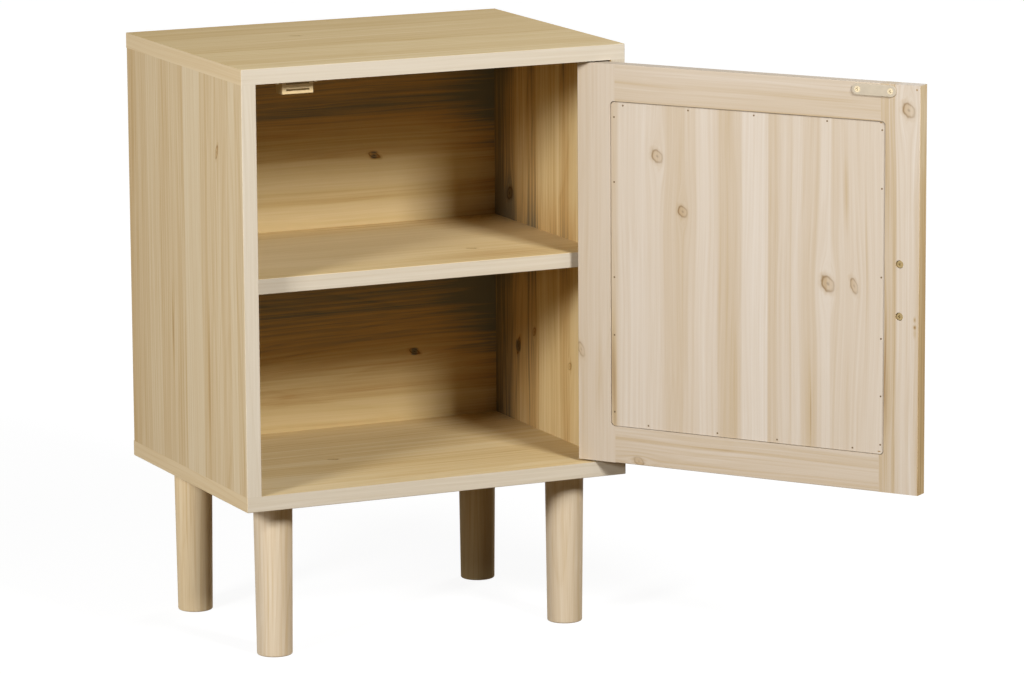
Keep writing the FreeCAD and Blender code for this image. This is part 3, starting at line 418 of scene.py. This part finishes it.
def grain_group(wood):
    """Growth rings about a pith of their own in each strip, soft bands, and fibres along the grain."""
    tree, given, result = group_with(
        "Softwood Grain", {"Place": VECTOR, "Strip": NUMBER, "Tone": NUMBER, "Rings": NUMBER,
                           "Bands": NUMBER, "Lines": NUMBER}, {"Tone": NUMBER, "Fibre": NUMBER})
    place, strip = given["Place"], given["Strip"]

    # The grain wanders some millimetres sideways over a hand's length, in each strip another way.
    wander = vector_maths(tree, "MULTIPLY", place, pattern_scale(*WANDER_SIZE))
    own = vector_maths(tree, "MULTIPLY", combined(tree, 0.0, 0.0, strip), (0.0, 0.0, WANDER_STEP))
    drift = noise(tree, vector_maths(tree, "ADD", wander, own), "Color", detail=1.5)
    centred = vector_maths(tree, "SUBTRACT", drift, (0.5, 0.5, 0.5))
    pushed = vector_maths(tree, "MULTIPLY", centred, (WANDER, 0.0, WANDER))
    bent = vector_maths(tree, "ADD", place, pushed)

    # Each strip is sawn from another log: its rings have another centre, some way below its face,
    # and the log's slope draws them out into long arches.
    chance = add_node(tree, "ShaderNodeTexWhiteNoise", {"W": strip}, noise_dimensions="1D")
    pith_share = vector_maths(tree, "ADD", chance.outputs["Color"], (-0.5, 0.0, 0.3))
    pith = vector_maths(tree, "MULTIPLY", pith_share, (PITH_SPREAD, 0.0, -PITH_DEPTH))
    across, along, depth = separated(tree, vector_maths(tree, "SUBTRACT", bent, pith))
    slope = remapped(tree, chance.outputs["Value"], -LOG_SLOPE, LOG_SLOPE)
    sloped = maths(tree, "MULTIPLY_ADD", along, slope, depth)
    radius = vector_maths(tree, "LENGTH", combined(tree, across, sloped))
    ring = maths(tree, "DIVIDE", radius, wood.ring_spacing * MM)
    late = ramp(tree, maths(tree, "FRACT", ring), [(0.0, 0.25), (0.12, 0.0), (0.55, 0.15), (0.8, 0.55),
                                                   (0.92, 1.0), (1.0, 0.25)], "EASE")
    weather = add_node(tree, "ShaderNodeTexWhiteNoise", {"W": maths(tree, "FLOOR", ring)},
                       noise_dimensions="1D")
    strength = remapped(tree, weather.outputs["Value"], *YEAR_STRENGTH)
    strong = maths(tree, "MULTIPLY", late, strength)

    # Broader bands, where the tree grew faster or slower for some years.
    band_place = vector_maths(tree, "MULTIPLY", combined(tree, radius, strip),
                              (1 / BAND_WIDTH, BAND_STEP, 0.0))
    band = maths(tree, "SUBTRACT", noise(tree, band_place, detail=3.0, roughness=0.6), 0.5)

    # Fibres: real ones are a twentieth of a millimetre wide and would not show, so they are drawn
    # wider. Between them, lines as wide as a crayon's run the height of the board.
    fibre_scale = pattern_scale(wood.fibre_width * MM, FIBRE_LENGTH)
    fibre = noise(tree, vector_maths(tree, "MULTIPLY", bent, fibre_scale), roughness=0.65)
    line = noise(tree, vector_maths(tree, "MULTIPLY", bent, pattern_scale(*LINE_SIZE)), detail=1.5)
    lines = maths(tree, "ADD", remapped(tree, line, -LINE_TONE, LINE_TONE, *NOISE_RANGE),
                  remapped(tree, fibre, -FIBRE_TONE, FIBRE_TONE, *NOISE_RANGE))

    total = maths(tree, "MULTIPLY_ADD", strong, given["Rings"], given["Tone"])
    total = maths(tree, "MULTIPLY_ADD", band, given["Bands"], total)
    total = maths(tree, "MULTIPLY_ADD", lines, given["Lines"], total, clamp=True)
    feed(tree, result, {"Tone": total, "Fibre": fibre})
    return tree


class Softwood:
    """Planed and sanded softwood under a thin clear lacquer: soft bands, fine rings, little gloss."""

    def __init__(self, wood):
        self.wood = wood
        self.knot = knot_group()
        self.streak = streak_group()
        self.grain = grain_group(wood)

    def dress(self, board, palette, bands, strips=(0,), knots=(), streaks=(), facing=(), rings=0.12,
              band_gain=0.3, lines=1.0):
        """Gives a board its wood; every place is in the board's millimetres.

        bands: (across, tone), tone from 0, palest, to 1, darkest. strips: where each glued strip
        starts. knots: (across, along, radius, stretch, darkness). streaks: (across, along, half
        width, half length, tone added). facing: (direction, palette) of faces with another palette.
        """
        material, tree, shader = new_material(f"Lacquered softwood, {board.node_name}")
        place = board.place(tree)
        bent = place
        marks = []
        for across, along, radius, stretch, darkness in knots:
            knot = add_node(tree, "ShaderNodeGroup", {
                "Place": bent, "Centre": (across, along, 0.0), "Radius": radius, "Stretch": stretch,
                "Bend": KNOT_BEND}, node_tree=self.knot)
            bent = knot.outputs["Place"]
            marks.append((knot, darkness))

        # Each strip draws its figure from its own number, which the board's name starts off.
        first = sum(ord(letter) for letter in board.node_name) % 17 / 17
        strip = self.by_width(tree, place, board, [(start, (first + i * STRIP_STEP) % 1.0)
                                                   for i, start in enumerate(strips)], "CONSTANT")
        tone = self.by_width(tree, bent, board, bands)
        for across, along, half_width, half_length, strength in streaks:
            tone = add_node(tree, "ShaderNodeGroup", {
                "Place": bent, "Tone": tone, "Centre": (across, along, 0.0),
                "Half Size": (half_width, half_length, 1.0), "Strength": strength},
                node_tree=self.streak).outputs["Tone"]
        grain = add_node(tree, "ShaderNodeGroup", {
            "Place": bent, "Strip": strip, "Tone": tone, "Rings": rings, "Bands": band_gain,
            "Lines": lines}, node_tree=self.grain)

        colour = self.palette_colour(tree, grain, palette)
        for direction, other in facing:
            normal = add_node(tree, "ShaderNodeTexCoord").outputs["Normal"]
            towards = vector_maths(tree, "DOT_PRODUCT", normal, direction)
            faces = maths(tree, "GREATER_THAN", towards, FACING_COSINE)
            shown = self.edging_grain(tree, place) if other == "end" else grain
            colour = mixed(tree, faces, colour, self.palette_colour(tree, shown, other))
        for knot, darkness in marks:
            colour = self.knot_colour(tree, colour, knot, darkness)

        fibre = grain.outputs["Fibre"]
        gloss = [self.wood.roughness + change for change in FIBRE_GLOSS]
        relief = add_node(tree, "ShaderNodeBump", {"Height": fibre, "Strength": RELIEF_STRENGTH,
                                                   "Distance": FIBRE_RELIEF})
        feed(tree, shader, {
            "Base Color": colour, "IOR": LACQUER_IOR, "Specular IOR Level": LACQUER_SHINE,
            "Roughness": remapped(tree, fibre, *gloss, *NOISE_RANGE), "Normal": relief.outputs[0]})
        dress(board.node_name, material)

    def by_width(self, tree, place, board, stops, interpolation="LINEAR"):
        """A tone from stops across the board, at millimetres of its width."""
        share = maths(tree, "DIVIDE", separated(tree, place)[0], board.width)
        return ramp(tree, share, [(across / board.width, tone) for across, tone in stops], interpolation)

    def palette_colour(self, tree, grain, palette):
        pale, mid, tan = (tuple(getattr(self.wood, f"{palette}_{shade}"))
                          for shade in ("pale", "mid", "tan"))
        deep = tuple(getattr(self.wood, f"{palette}_deep", self.wood.dark_line))
        return ramp(tree, grain.outputs["Tone"], [(0.0, pale), (0.35, mid), (0.7, tan), (1.0, deep)])

    def knot_colour(self, tree, ground, knot, darkness):
        """Brown wood round a pith dot, inside a bark ring."""
        rim, core = tuple(self.wood.knot_rim), tuple(self.wood.knot_core)
        reach = maths(tree, "MULTIPLY", knot.outputs["Distance"], 0.5)
        shades = ramp(tree, reach, [(0.0, rim), (0.06, rim), (0.14, core), (0.3, core), (0.42, rim),
                                    (0.6, core)])
        cover = ramp(tree, reach, [(0.0, 0.9), (0.1, 0.75), (0.3, 0.75), (0.42, 1.0), (0.55, 0.3),
                                   (0.8, 0.0)], "EASE")
        lean = remapped(tree, knot.outputs["Side"], *RING_SIDES, -1.0, 1.0)
        heavy = maths(tree, "MULTIPLY", cover, lean)
        amount = maths(tree, "MULTIPLY", heavy, darkness, clamp=True)
        return mixed(tree, amount, ground, shades, "MULTIPLY")

    def edging_grain(self, tree, place):
        """The grain of the strip that closes a board's end: it runs along the end, not out of it."""
        across, along, through = separated(tree, place)
        return add_node(tree, "ShaderNodeGroup", {
            "Place": combined(tree, through, across, along), "Strip": 0.3, "Tone": 0.35, "Rings": 0.2,
            "Bands": 0.3, "Lines": 1.0}, node_tree=self.grain)


# ---------------------------------------------------------------------------
# Operators: one for each group of pieces
# ---------------------------------------------------------------------------

FRONT = (0.0, -1.0, 0.0)
LEFT = (-1.0, 0.0, 0.0)
RIGHT = (1.0, 0.0, 0.0)
UP = (0.0, 0.0, 1.0)
DOWN = (0.0, 0.0, -1.0)
FREE_EDGE = tuple(CLOSING_TURN.inverted() @ Vector(LEFT))


class SIDETABLE_OT_carcass(bpy.types.Operator):
    """Finish the top, bottom, side and back panels and the shelf"""

    bl_idname = "side_table.carcass"
    bl_label = "Carcass boards"

    def execute(self, context):
        wood = Softwood(context.scene.side_table_wood)
        wood.dress(
            Board("left_side_panel", "y", "z", "x"), "outer",
            bands=[(0, 0.12), (1.6, 0.12), (1.7, 0.4), (17, 0.4), (20, 0.2), (32, 0.22), (36, 0.42),
                   (54, 0.45), (58, 0.35), (90, 0.36), (92, 0.55), (95, 0.4), (105, 0.38), (108, 0.2),
                   (149, 0.22), (151.5, 0.62), (154, 0.45), (175, 0.4), (200, 0.46), (212.5, 0.46),
                   (213.5, 0.62), (215, 0.34), (245, 0.36), (248, 0.46), (274, 0.46), (278, 0.58),
                   (292, 0.62), (300, 0.58)],
            strips=(0, 35, 107, 152, 214, 276),
            # The inner face takes the shade palette: painted shade.
            facing=[(FRONT, "edge"), (RIGHT, "shade")],
            knots=[(64.4, 338, 2.8, 2.6, 1.0)], rings=0.15, lines=0.95,
            streaks=[(186, 150, 3.5, 60, 0.3), (184, 130, 1.2, 90, 0.25), (92, 120, 7, 110, 0.2)])
        wood.dress(
            Board("right_side_panel", "y", "z", "x"), "side",
            # The bands grow darker from 214 mm back, towards the rear of the inner face: painted shade.
            bands=[(0, 0.12), (1.6, 0.12), (1.7, 0.4), (22, 0.45), (30, 0.3), (60, 0.35), (80, 0.2),
                   (92, 0.4), (98, 0.5), (107, 0.58), (117, 0.48), (121, 0.15), (124, 0.3), (130, 0.42),
                   (149, 0.3), (166, 0.36), (171, 0.48), (176, 0.66), (183, 0.67), (186, 0.57),
                   (191, 0.67), (196, 0.57), (202, 0.45), (214, 0.55), (228, 0.75), (240, 0.9),
                   (270, 0.95), (300, 0.9)],
            strips=(0, 45, 120, 175, 240), facing=[(FRONT, "edge"), (LEFT, "inner")],
            knots=[(234.8, 245.8, 6.5, 1.1, 1.6), (215.9, 92.7, 4.0, 2.4, 1.6), (179, 113, 3.4, 1.4, 1.2),
                   (96, 92, 4.0, 1.0, 0.7)],
            # The two wide streaks darken the wall under the top and at the shelf's height: painted shadow of
            # the top and the shelf.
            streaks=[(150, 415, 500, 80, 0.3), (150, 205, 500, 75, 0.3), (198, 90, 45, 110, 0.2),
                     (234.8, 245.8, 6.5, 9, 0.6), (215.9, 92.7, 5, 8, 0.6)],
            rings=0.11, band_gain=0.2, lines=0.95)
        wood.dress(
            Board("top_panel", "y", "x", "z"), "top",
            bands=[(0, 0.12), (1.6, 0.12), (1.7, 0.36), (30, 0.38), (34, 0.5), (60, 0.46), (66, 0.38),
                   (118, 0.4), (122, 0.55), (160, 0.48), (172, 0.42), (225, 0.44), (232, 0.56),
                   (268, 0.5), (300, 0.58)],
            strips=(0, 32, 120, 171, 230),
            # The underside takes the shade palette: painted shade.
            facing=[(FRONT, "edge"), (DOWN, "shade"), (LEFT, "end"), (RIGHT, "end")],
            knots=[(200.1, 138.5, 3.0, 1.9, 0.7)], rings=0.12, band_gain=0.22, lines=0.85)
        wood.dress(
            Board("bottom_panel", "y", "x", "z"), "outer",
            bands=[(0, 0.15), (1.6, 0.15), (1.7, 0.3), (25, 0.3), (30, 0.45), (70, 0.35), (90, 0.5),
                   (120, 0.3), (140, 0.45), (180, 0.35), (200, 0.5), (240, 0.4), (270, 0.5), (300, 0.5)],
            strips=(0, 28, 90, 140, 200),
            facing=[(FRONT, "edge"), (UP, "top"), (LEFT, "end"), (RIGHT, "end")],
            # The streak lightens the front left of the bottom: painted light.
            knots=[(127.2, 142.6, 3.0, 1.8, 0.9)], streaks=[(45, 60, 60, 120, -0.2)],
            rings=0.18, band_gain=0.45)
        wood.dress(
            Board("middle_shelf", "y", "x", "z"), "inner",
            bands=[(26, 0.15), (28.2, 0.15), (28.4, 0.3), (50, 0.25), (58, 0.3), (90, 0.1),
                   (110, 0.25), (140, 0.1), (160, 0.22), (200, 0.1), (230, 0.35), (270, 0.4)],
            # The underside takes the shade palette: painted shade.
            strips=(0, 95, 158, 205), facing=[(FRONT, "edge"), (DOWN, "shade")],
            knots=[(93.8, 278.2, 3.2, 1.6, 0.8)],
            # The first streak darkens the shelf towards its right, painted shade; the second lightens it at
            # the left, painted light.
            streaks=[(70, 290, 70, 130, 0.26), (110, 60, 90, 110, -0.15)], rings=0.14)
        wood.dress(
            Board("back_panel", "z", "x", "y"), "side",
            # The bands are dark from 104 to 200 mm and from 318 mm up, under the shelf and under the top:
            # painted shadow. From 228 to 300 mm, above the shelf, they are paler: partly grain, partly
            # painted light.
            bands=[(0, 0.4), (36, 0.2), (41, 0.3), (46, 0.55), (49, 0.38), (51, 0.52), (54, 0.4),
                   (58, 0.5), (60, 0.37), (75, 0.5), (104, 0.72), (126, 0.78), (132, 0.86),
                   (200, 0.8), (228, 0.08), (242, 0.08), (246, 0.42), (249, 0.42), (251, 0.24),
                   (256, 0.4), (259, 0.2), (266, 0.15), (286, 0.28), (289, 0.5), (294, 0.53),
                   (297, 0.4), (306, 0.48), (318, 0.64), (338, 0.88), (350, 0.78),
                   (410, 0.8)],
            strips=(0, 62, 130, 204, 262, 340), facing=[(FRONT, "back")],
            knots=[(289.1, 251.8, 3.2, 2.0, 1.4), (85.1, 294, 3.0, 2.0, 1.4)],
            # The first streak darkens the right end of the back over its whole height: painted shadow of the
            # right side and the door.
            streaks=[(205, 410, 500, 110, 0.38), (289.1, 251.8, 3.2, 6.5, 0.6), (85.1, 294, 3, 6, 0.6)],
            rings=0.1, band_gain=0.2, lines=0.85)
        return {"FINISHED"}


class SIDETABLE_OT_door(bpy.types.Operator):
    """Finish the door's stiles, rails, panel and pull"""

    bl_idname = "side_table.door"
    bl_label = "Door"

    def execute(self, context):
        wood = Softwood(context.scene.side_table_wood)
        wood.dress(
            Board("door_panel", "-x", "z", "-y"), "door",
            bands=[(36, 0.56), (44, 0.5), (46.5, 0.24), (72, 0.2), (92, 0.3), (99, 0.46), (114, 0.46),
                   (122, 0.34), (126, 0.48), (128, 0.3), (136, 0.2), (150, 0.27), (154, 0.52),
                   (163, 0.56), (167, 0.44), (177, 0.42), (179, 0.14), (206.4, 0.12), (206.8, 0.48),
                   (218, 0.42), (222, 0.26), (230, 0.28), (231, 0.56), (232.5, 0.28), (241, 0.2),
                   (244, 0.42), (260, 0.44), (264, 0.22), (272.6, 0.2), (273.1, 0.38), (304, 0.3),
                   (325, 0.24)],
            strips=(0, 179, 206.6, 273),
            knots=[(87.1, 322, 6.4, 1.1, 0.75), (113.5, 270.2, 5.6, 1.1, 0.8),
                   (269.9, 212.8, 7.4, 1.15, 0.85), (295.4, 213, 4.2, 2.0, 0.7)],
            # The last two streaks are dark dots in the panel's corners by the free stile: painted shade in
            # the corners of the groove.
            streaks=[(40, 100, 5, 110, 0.3), (170, 90, 9, 130, 0.2), (288, 300, 4, 55, 0.25),
                     (252, 85, 9, 100, 0.2), (253, 80, 1.2, 85, 0.22), (308, 240, 2, 130, 0.25),
                     (290, 90, 3, 90, 0.15), (324, 371, 2.6, 1.0, 1.0), (324, 56, 2.6, 1.0, 1.0)],
            rings=0.07, band_gain=0.16, lines=0.6)
        wood.dress(
            Board("door_hinge_stile", "-x", "z", "-y"), "door",
            bands=[(0, 0.38), (6, 0.45), (18, 0.38), (38, 0.34)],
            knots=[(3.5, 126.1, 3.6, 2.2, 0.6)],
            streaks=[(22, 100, 10, 60, 0.12)], rings=0.05, band_gain=0.14, lines=0.6)
        wood.dress(
            Board("door_free_stile", "-x", "z", "-y"), "door",
            bands=[(326, 0.55), (338, 0.55), (341.3, 0.68), (343.5, 0.3), (350, 0.2), (354, 0.32),
                   (358, 0.2), (362, 0.36), (365.6, 0.4), (365.9, 0.74)],
            facing=[(FREE_EDGE, "outer")],
            knots=[(354.2, 384.6, 6.8, 1.1, 0.8)],
            streaks=[(333, 120, 5, 120, 0.25), (361.5, 186, 2.2, 4.5, 0.5), (361.5, 179, 2.8, 3.5, 0.6),
                     (361.5, 173, 2.4, 8, 0.3), (332, 330, 4, 100, 0.15), (359, 404.4, 1.5, 1.4, 1.0)],
            rings=0.1, band_gain=0.3)
        wood.dress(
            Board("door_top_rail", "z", "-x", "-y"), "door",
            bands=[(373, 0.85), (373.5, 0.52), (385, 0.42), (391, 0.52), (398, 0.36), (409, 0.36)],
            rings=0.06, band_gain=0.18, lines=0.7)
        wood.dress(
            Board("door_bottom_rail", "z", "-x", "-y"), "door",
            bands=[(17, 0.52), (30, 0.45), (38, 0.42), (40.5, 0.66), (43, 0.44), (52, 0.4)],
            knots=[(20.9, 66.8, 4.6, 1.3, 0.6)], rings=0.06, band_gain=0.18)
        wood.dress(Board("door_pull", "-x", "z", "-y"), "door", bands=[(0, 0.4)])
        return {"FINISHED"}


class SIDETABLE_OT_legs(bpy.types.Operator):
    """Finish the four turned legs"""

    bl_idname = "side_table.legs"
    bl_label = "Legs"

    def execute(self, context):
        wood = Softwood(context.scene.side_table_wood)
        for i, corner in enumerate(("front_left", "front_right", "rear_left", "rear_right")):
            leg = Board(f"leg_{corner}", "x", "z", "y")
            third = leg.width / 3
            # The rear legs take palettes of their own: a lighter copy on the rear left leg, painted light,
            # and a darker one on the rear right leg, painted shade under the carcass.
            palette = f"{corner}_leg" if corner.startswith("rear") else "front_leg"
            wood.dress(leg, palette, bands=[(0, 0.4), (third, 0.3 + 0.05 * i), (2 * third, 0.5),
                                            (3 * third, 0.4)], rings=0.16, band_gain=0.4)
        return {"FINISHED"}


SKIN_DEPTH = 0.00003
PLASTIC_IOR = 1.5


class SIDETABLE_OT_fittings(bpy.types.Operator):
    """Finish the catch, the strike plate, the pivots, the screws and the hidden fixings"""

    bl_idname = "side_table.fittings"
    bl_label = "Fittings"

    def execute(self, context):
        fittings = context.scene.side_table_fittings
        zinc = self.metal("Bright zinc-plated steel", fittings.zinc, 0.34)
        nylon = self.moulded("Turned nylon", fittings.nylon, 0.42)
        beech = self.beech(fittings.beech, fittings.beech_fleck)
        finishes = {
            "catch_housing": self.moulded("Moulded ABS", fittings.ivory, 0.5),
            "catch_magnet": self.moulded("Sintered ferrite", fittings.ferrite, 0.62),
            # The pole plates are darkened: painted shade.
            "catch_pole_plates": self.metal("Blued steel", fittings.dark_steel_painted_shade, 0.5),
            "catch_screws": self.metal("Passivated steel", fittings.dull_zinc, 0.5),
            "strike_plate": self.moulded("Stove-enamelled steel", fittings.enamel, 0.36),
            "strike_screws": self.metal("Nickel-plated steel", fittings.nickel, 0.3),
            "door_pull_screws": self.metal("Yellow zinc-plated steel", fittings.yellow_zinc, 0.36),
            "door_panel_brads": self.metal("Drawn steel wire", fittings.brad, 0.5),
            "top_pivot_sleeve": nylon,
            "bottom_pivot_bush": nylon,
            "bottom_pivot_pin": zinc,
            "top_pivot_pin": zinc,
            "leg_hanger_bolts": zinc,
            "leg_threaded_inserts": zinc,
        }
        finishes.update({name: beech for name in NODES if name.endswith("dowels")})
        for name, material in finishes.items():
            dress(name, material)
        return {"FINISHED"}

    def clouded(self, tree, colour, size, low, high):
        """A colour that grows lighter and darker in clouds of some millimetres."""
        cloud = noise(tree, object_place(tree), scale=MM / size, detail=3.0)
        shade = remapped(tree, cloud, low, high, *NOISE_RANGE)
        return add_node(tree, "ShaderNodeVectorMath", {0: tuple(colour)[:3], "Scale": shade},
                        operation="SCALE").outputs[0]

    def fine_noise(self, tree, grains):
        """Noise with this many grains in a metre along each axis."""
        return noise(tree, vector_maths(tree, "MULTIPLY", object_place(tree), grains))

    def skinned(self, name, colour, cloud, grains, roughness, unevenness, relief):
        """A clouded colour under a fine skin that varies the gloss and the surface."""
        material, tree, shader = new_material(name)
        skin = self.fine_noise(tree, grains)
        bump = add_node(tree, "ShaderNodeBump", {"Height": skin, "Strength": relief,
                                                 "Distance": SKIN_DEPTH})
        feed(tree, shader, {
            "Base Color": self.clouded(tree, colour, *cloud), "Normal": bump.outputs[0],
            "Roughness": remapped(tree, skin, roughness - unevenness, roughness + unevenness)})
        return material, shader

    def moulded(self, name, colour, roughness):
        """Plastic, enamel or ferrite: an even colour, a satin skin and the bloom of handling."""
        # The skin of the mould has grains of a third of a millimetre, which soften the highlight.
        material, shader = self.skinned(name, colour, (6.0, 0.95, 1.04), (3000.0, 3000.0, 3000.0),
                                        roughness, 0.08, 0.2)
        shader.inputs["IOR"].default_value = PLASTIC_IOR
        return material

    def metal(self, name, colour, roughness):
        """Plated or drawn steel: fine turning marks, and plating that is never quite even."""
        # Turning marks go round a screw, so they lie across its axis; real ones are 0.05 mm apart
        # and would not show, so they are drawn 0.4 mm apart.
        material, shader = self.skinned(name, colour, (3.0, 0.88, 1.06), (600.0, 2500.0, 600.0),
                                        roughness, 0.12, 0.15)
        shader.inputs["Metallic"].default_value = 1.0
        return material

    def beech(self, colour, fleck):
        """Beech dowel: pinkish tan with the short dark flecks that tell beech from pine."""
        material, tree, shader = new_material("Beech dowel")
        # The flecks are 2.5 mm long and 0.7 mm wide.
        share = remapped(tree, self.fine_noise(tree, (400.0, 1500.0, 1500.0)), 0.0, 0.5, 0.6, 0.72)
        ground = self.clouded(tree, colour, 4.0, 0.92, 1.06)
        feed(tree, shader, {"Base Color": mixed(tree, share, ground, tuple(fleck)), "Roughness": 0.7})
        return material


# Lengths of the stage, in metres.
FLOOR_SIZE = 40.0
PAPER_FADE = (0.5, 2.2)
LIGHT_AIM = Vector((0.0, 0.0, 0.352))
BOX_SIZE = 0.6
FAR_CLIP = 100.0
SENSOR_WIDTH = 36.0  # millimetres


class SIDETABLE_OT_stage(bpy.types.Operator):
    """Set up the floor, the light and the camera"""

    bl_idname = "side_table.stage"
    bl_label = "Stage"

    def execute(self, context):
        stage = context.scene.side_table_stage
        context.scene.view_settings.view_transform = "Standard"
        self.world(context, stage)
        self.floor(context, stage)
        self.lamps(context, stage)
        self.camera(context, stage)
        return {"FINISHED"}

    def world(self, context, stage):
        world = bpy.data.worlds.new("Studio")
        world.use_nodes = True
        context.scene.world = world
        tree = world.node_tree
        tree.nodes.clear()
        around = add_node(tree, "ShaderNodeBackground", {"Color": WHITE, "Strength": stage.ambient})
        white = add_node(tree, "ShaderNodeBackground", {"Color": WHITE, "Strength": 1.0})
        surface = self.by_ray(tree, around, white)
        add_node(tree, "ShaderNodeOutputWorld", {"Surface": surface})

    def floor(self, context, stage):
        bpy.ops.mesh.primitive_plane_add(size=FLOOR_SIZE, location=(0.0, 0.0, 0.0))
        floor = context.object
        floor.name = "studio_floor"
        material = bpy.data.materials.new("White studio paper")
        material.use_nodes = True
        tree = material.node_tree
        tree.nodes.clear()
        paper = add_node(tree, "ShaderNodeBsdfDiffuse", {"Color": tuple(stage.paper)})
        # Away from the table the paper runs out to plain white.
        lift = remapped(tree, vector_maths(tree, "LENGTH", object_place(tree)), stage.floor_lift, 1.0,
                        *PAPER_FADE, "SMOOTHSTEP")
        glow = add_node(tree, "ShaderNodeEmission", {"Color": WHITE, "Strength": lift})
        lifted = add_node(tree, "ShaderNodeAddShader", {0: paper.outputs[0], 1: glow.outputs[0]})
        bounce = add_node(tree, "ShaderNodeBsdfDiffuse", {"Color": tuple(stage.bounce)})
        add_node(tree, "ShaderNodeOutputMaterial", {"Surface": self.by_ray(tree, bounce, lifted)})
        floor.data.materials.append(material)

    def by_ray(self, tree, lighting, showing):
        """One shader for rays that light the table, and another for those that show the background."""
        rays = add_node(tree, "ShaderNodeLightPath").outputs
        mirrored = maths(tree, "MAXIMUM", rays["Is Glossy Ray"], rays["Is Transmission Ray"])
        shown = maths(tree, "MAXIMUM", rays["Is Camera Ray"], mirrored)
        return add_node(tree, "ShaderNodeMixShader", {
            0: shown, 1: lighting.outputs[0], 2: showing.outputs[0]}).outputs[0]

    def lamps(self, context, stage):
        """Soft boxes, each given by its bearing from straight in front, height and distance."""
        boxes = {
            "key_box": (-60.0, 19.5, 3.0, stage.key_power),
            "front_box": (13.0, 30.0, 3.0, stage.front_power),
            "side_box": (-88.0, 3.0, 2.0, stage.side_power),
            "rear_box": (122.0, 27.0, 2.0, stage.rear_power),
        }
        for name, (bearing, height, distance, power) in boxes.items():
            lamp = bpy.data.lights.new(name, "AREA")
            lamp.shape = "SQUARE"
            lamp.size = BOX_SIZE
            lamp.energy = power
            box = bpy.data.objects.new(name, lamp)
            context.scene.collection.objects.link(box)
            bearing, height = math.radians(bearing), math.radians(height)
            direction = Vector((math.sin(bearing) * math.cos(height), -math.cos(bearing) * math.cos(height),
                                math.sin(height)))
            box.location = LIGHT_AIM + direction * distance
            box.rotation_euler = direction.to_track_quat("Z", "Y").to_euler()

    def camera(self, context, stage):
        lens = bpy.data.cameras.new("camera")
        lens.sensor_width = SENSOR_WIDTH
        lens.sensor_fit = "HORIZONTAL"
        lens.lens = stage.lens
        lens.clip_end = FAR_CLIP
        camera = bpy.data.objects.new("camera", lens)
        context.scene.collection.objects.link(camera)
        heading, dip, roll = stage.camera_heading, stage.camera_dip, stage.camera_roll
        forward = Vector((math.sin(heading) * math.cos(dip), math.cos(heading) * math.cos(dip),
                          -math.sin(dip)))
        level = Vector((math.cos(heading), -math.sin(heading), 0.0))
        above = level.cross(forward)
        right = math.cos(roll) * level + math.sin(roll) * above
        up = math.cos(roll) * above - math.sin(roll) * level
        turn = Matrix((right, up, -forward)).transposed()
        camera.matrix_world = Matrix.Translation(Vector(stage.camera_place)) @ turn.to_4x4()
        context.scene.camera = camera


class SIDETABLE_PT_panel(bpy.types.Panel):
    """Lists the settings and the steps"""

    bl_idname = "SIDETABLE_PT_panel"
    bl_label = "Side Table"
    bl_space_type = "VIEW_3D"
    bl_region_type = "UI"
    bl_category = "Side Table"

    def draw(self, context):
        layout = self.layout
        for name in GROUPS:
            group = getattr(context.scene, name)
            box = layout.box()
            for setting in group.bl_rna.properties.keys():
                if setting not in ("rna_type", "name"):
                    box.prop(group, setting)
        for step in STEPS:
            layout.operator(step.bl_idname)


GROUPS = {"side_table_wood": SideTableWood, "side_table_fittings": SideTableFittings,
          "side_table_stage": SideTableStage}
STEPS = (SIDETABLE_OT_carcass, SIDETABLE_OT_door, SIDETABLE_OT_legs, SIDETABLE_OT_fittings,
         SIDETABLE_OT_stage)


def register():
    for kind in (*GROUPS.values(), *STEPS, SIDETABLE_PT_panel):
        bpy.utils.register_class(kind)
    for name, kind in GROUPS.items():
        setattr(bpy.types.Scene, name, bpy.props.PointerProperty(type=kind))


def unregister():
    for name in GROUPS:
        delattr(bpy.types.Scene, name)
    for kind in (SIDETABLE_PT_panel, *STEPS, *GROUPS.values()):
        bpy.utils.unregister_class(kind)


def main():
    register()
    bpy.ops.side_table.carcass()
    bpy.ops.side_table.door()
    bpy.ops.side_table.legs()
    bpy.ops.side_table.fittings()
    bpy.ops.side_table.stage()


if __name__ == "__main__":
    main()
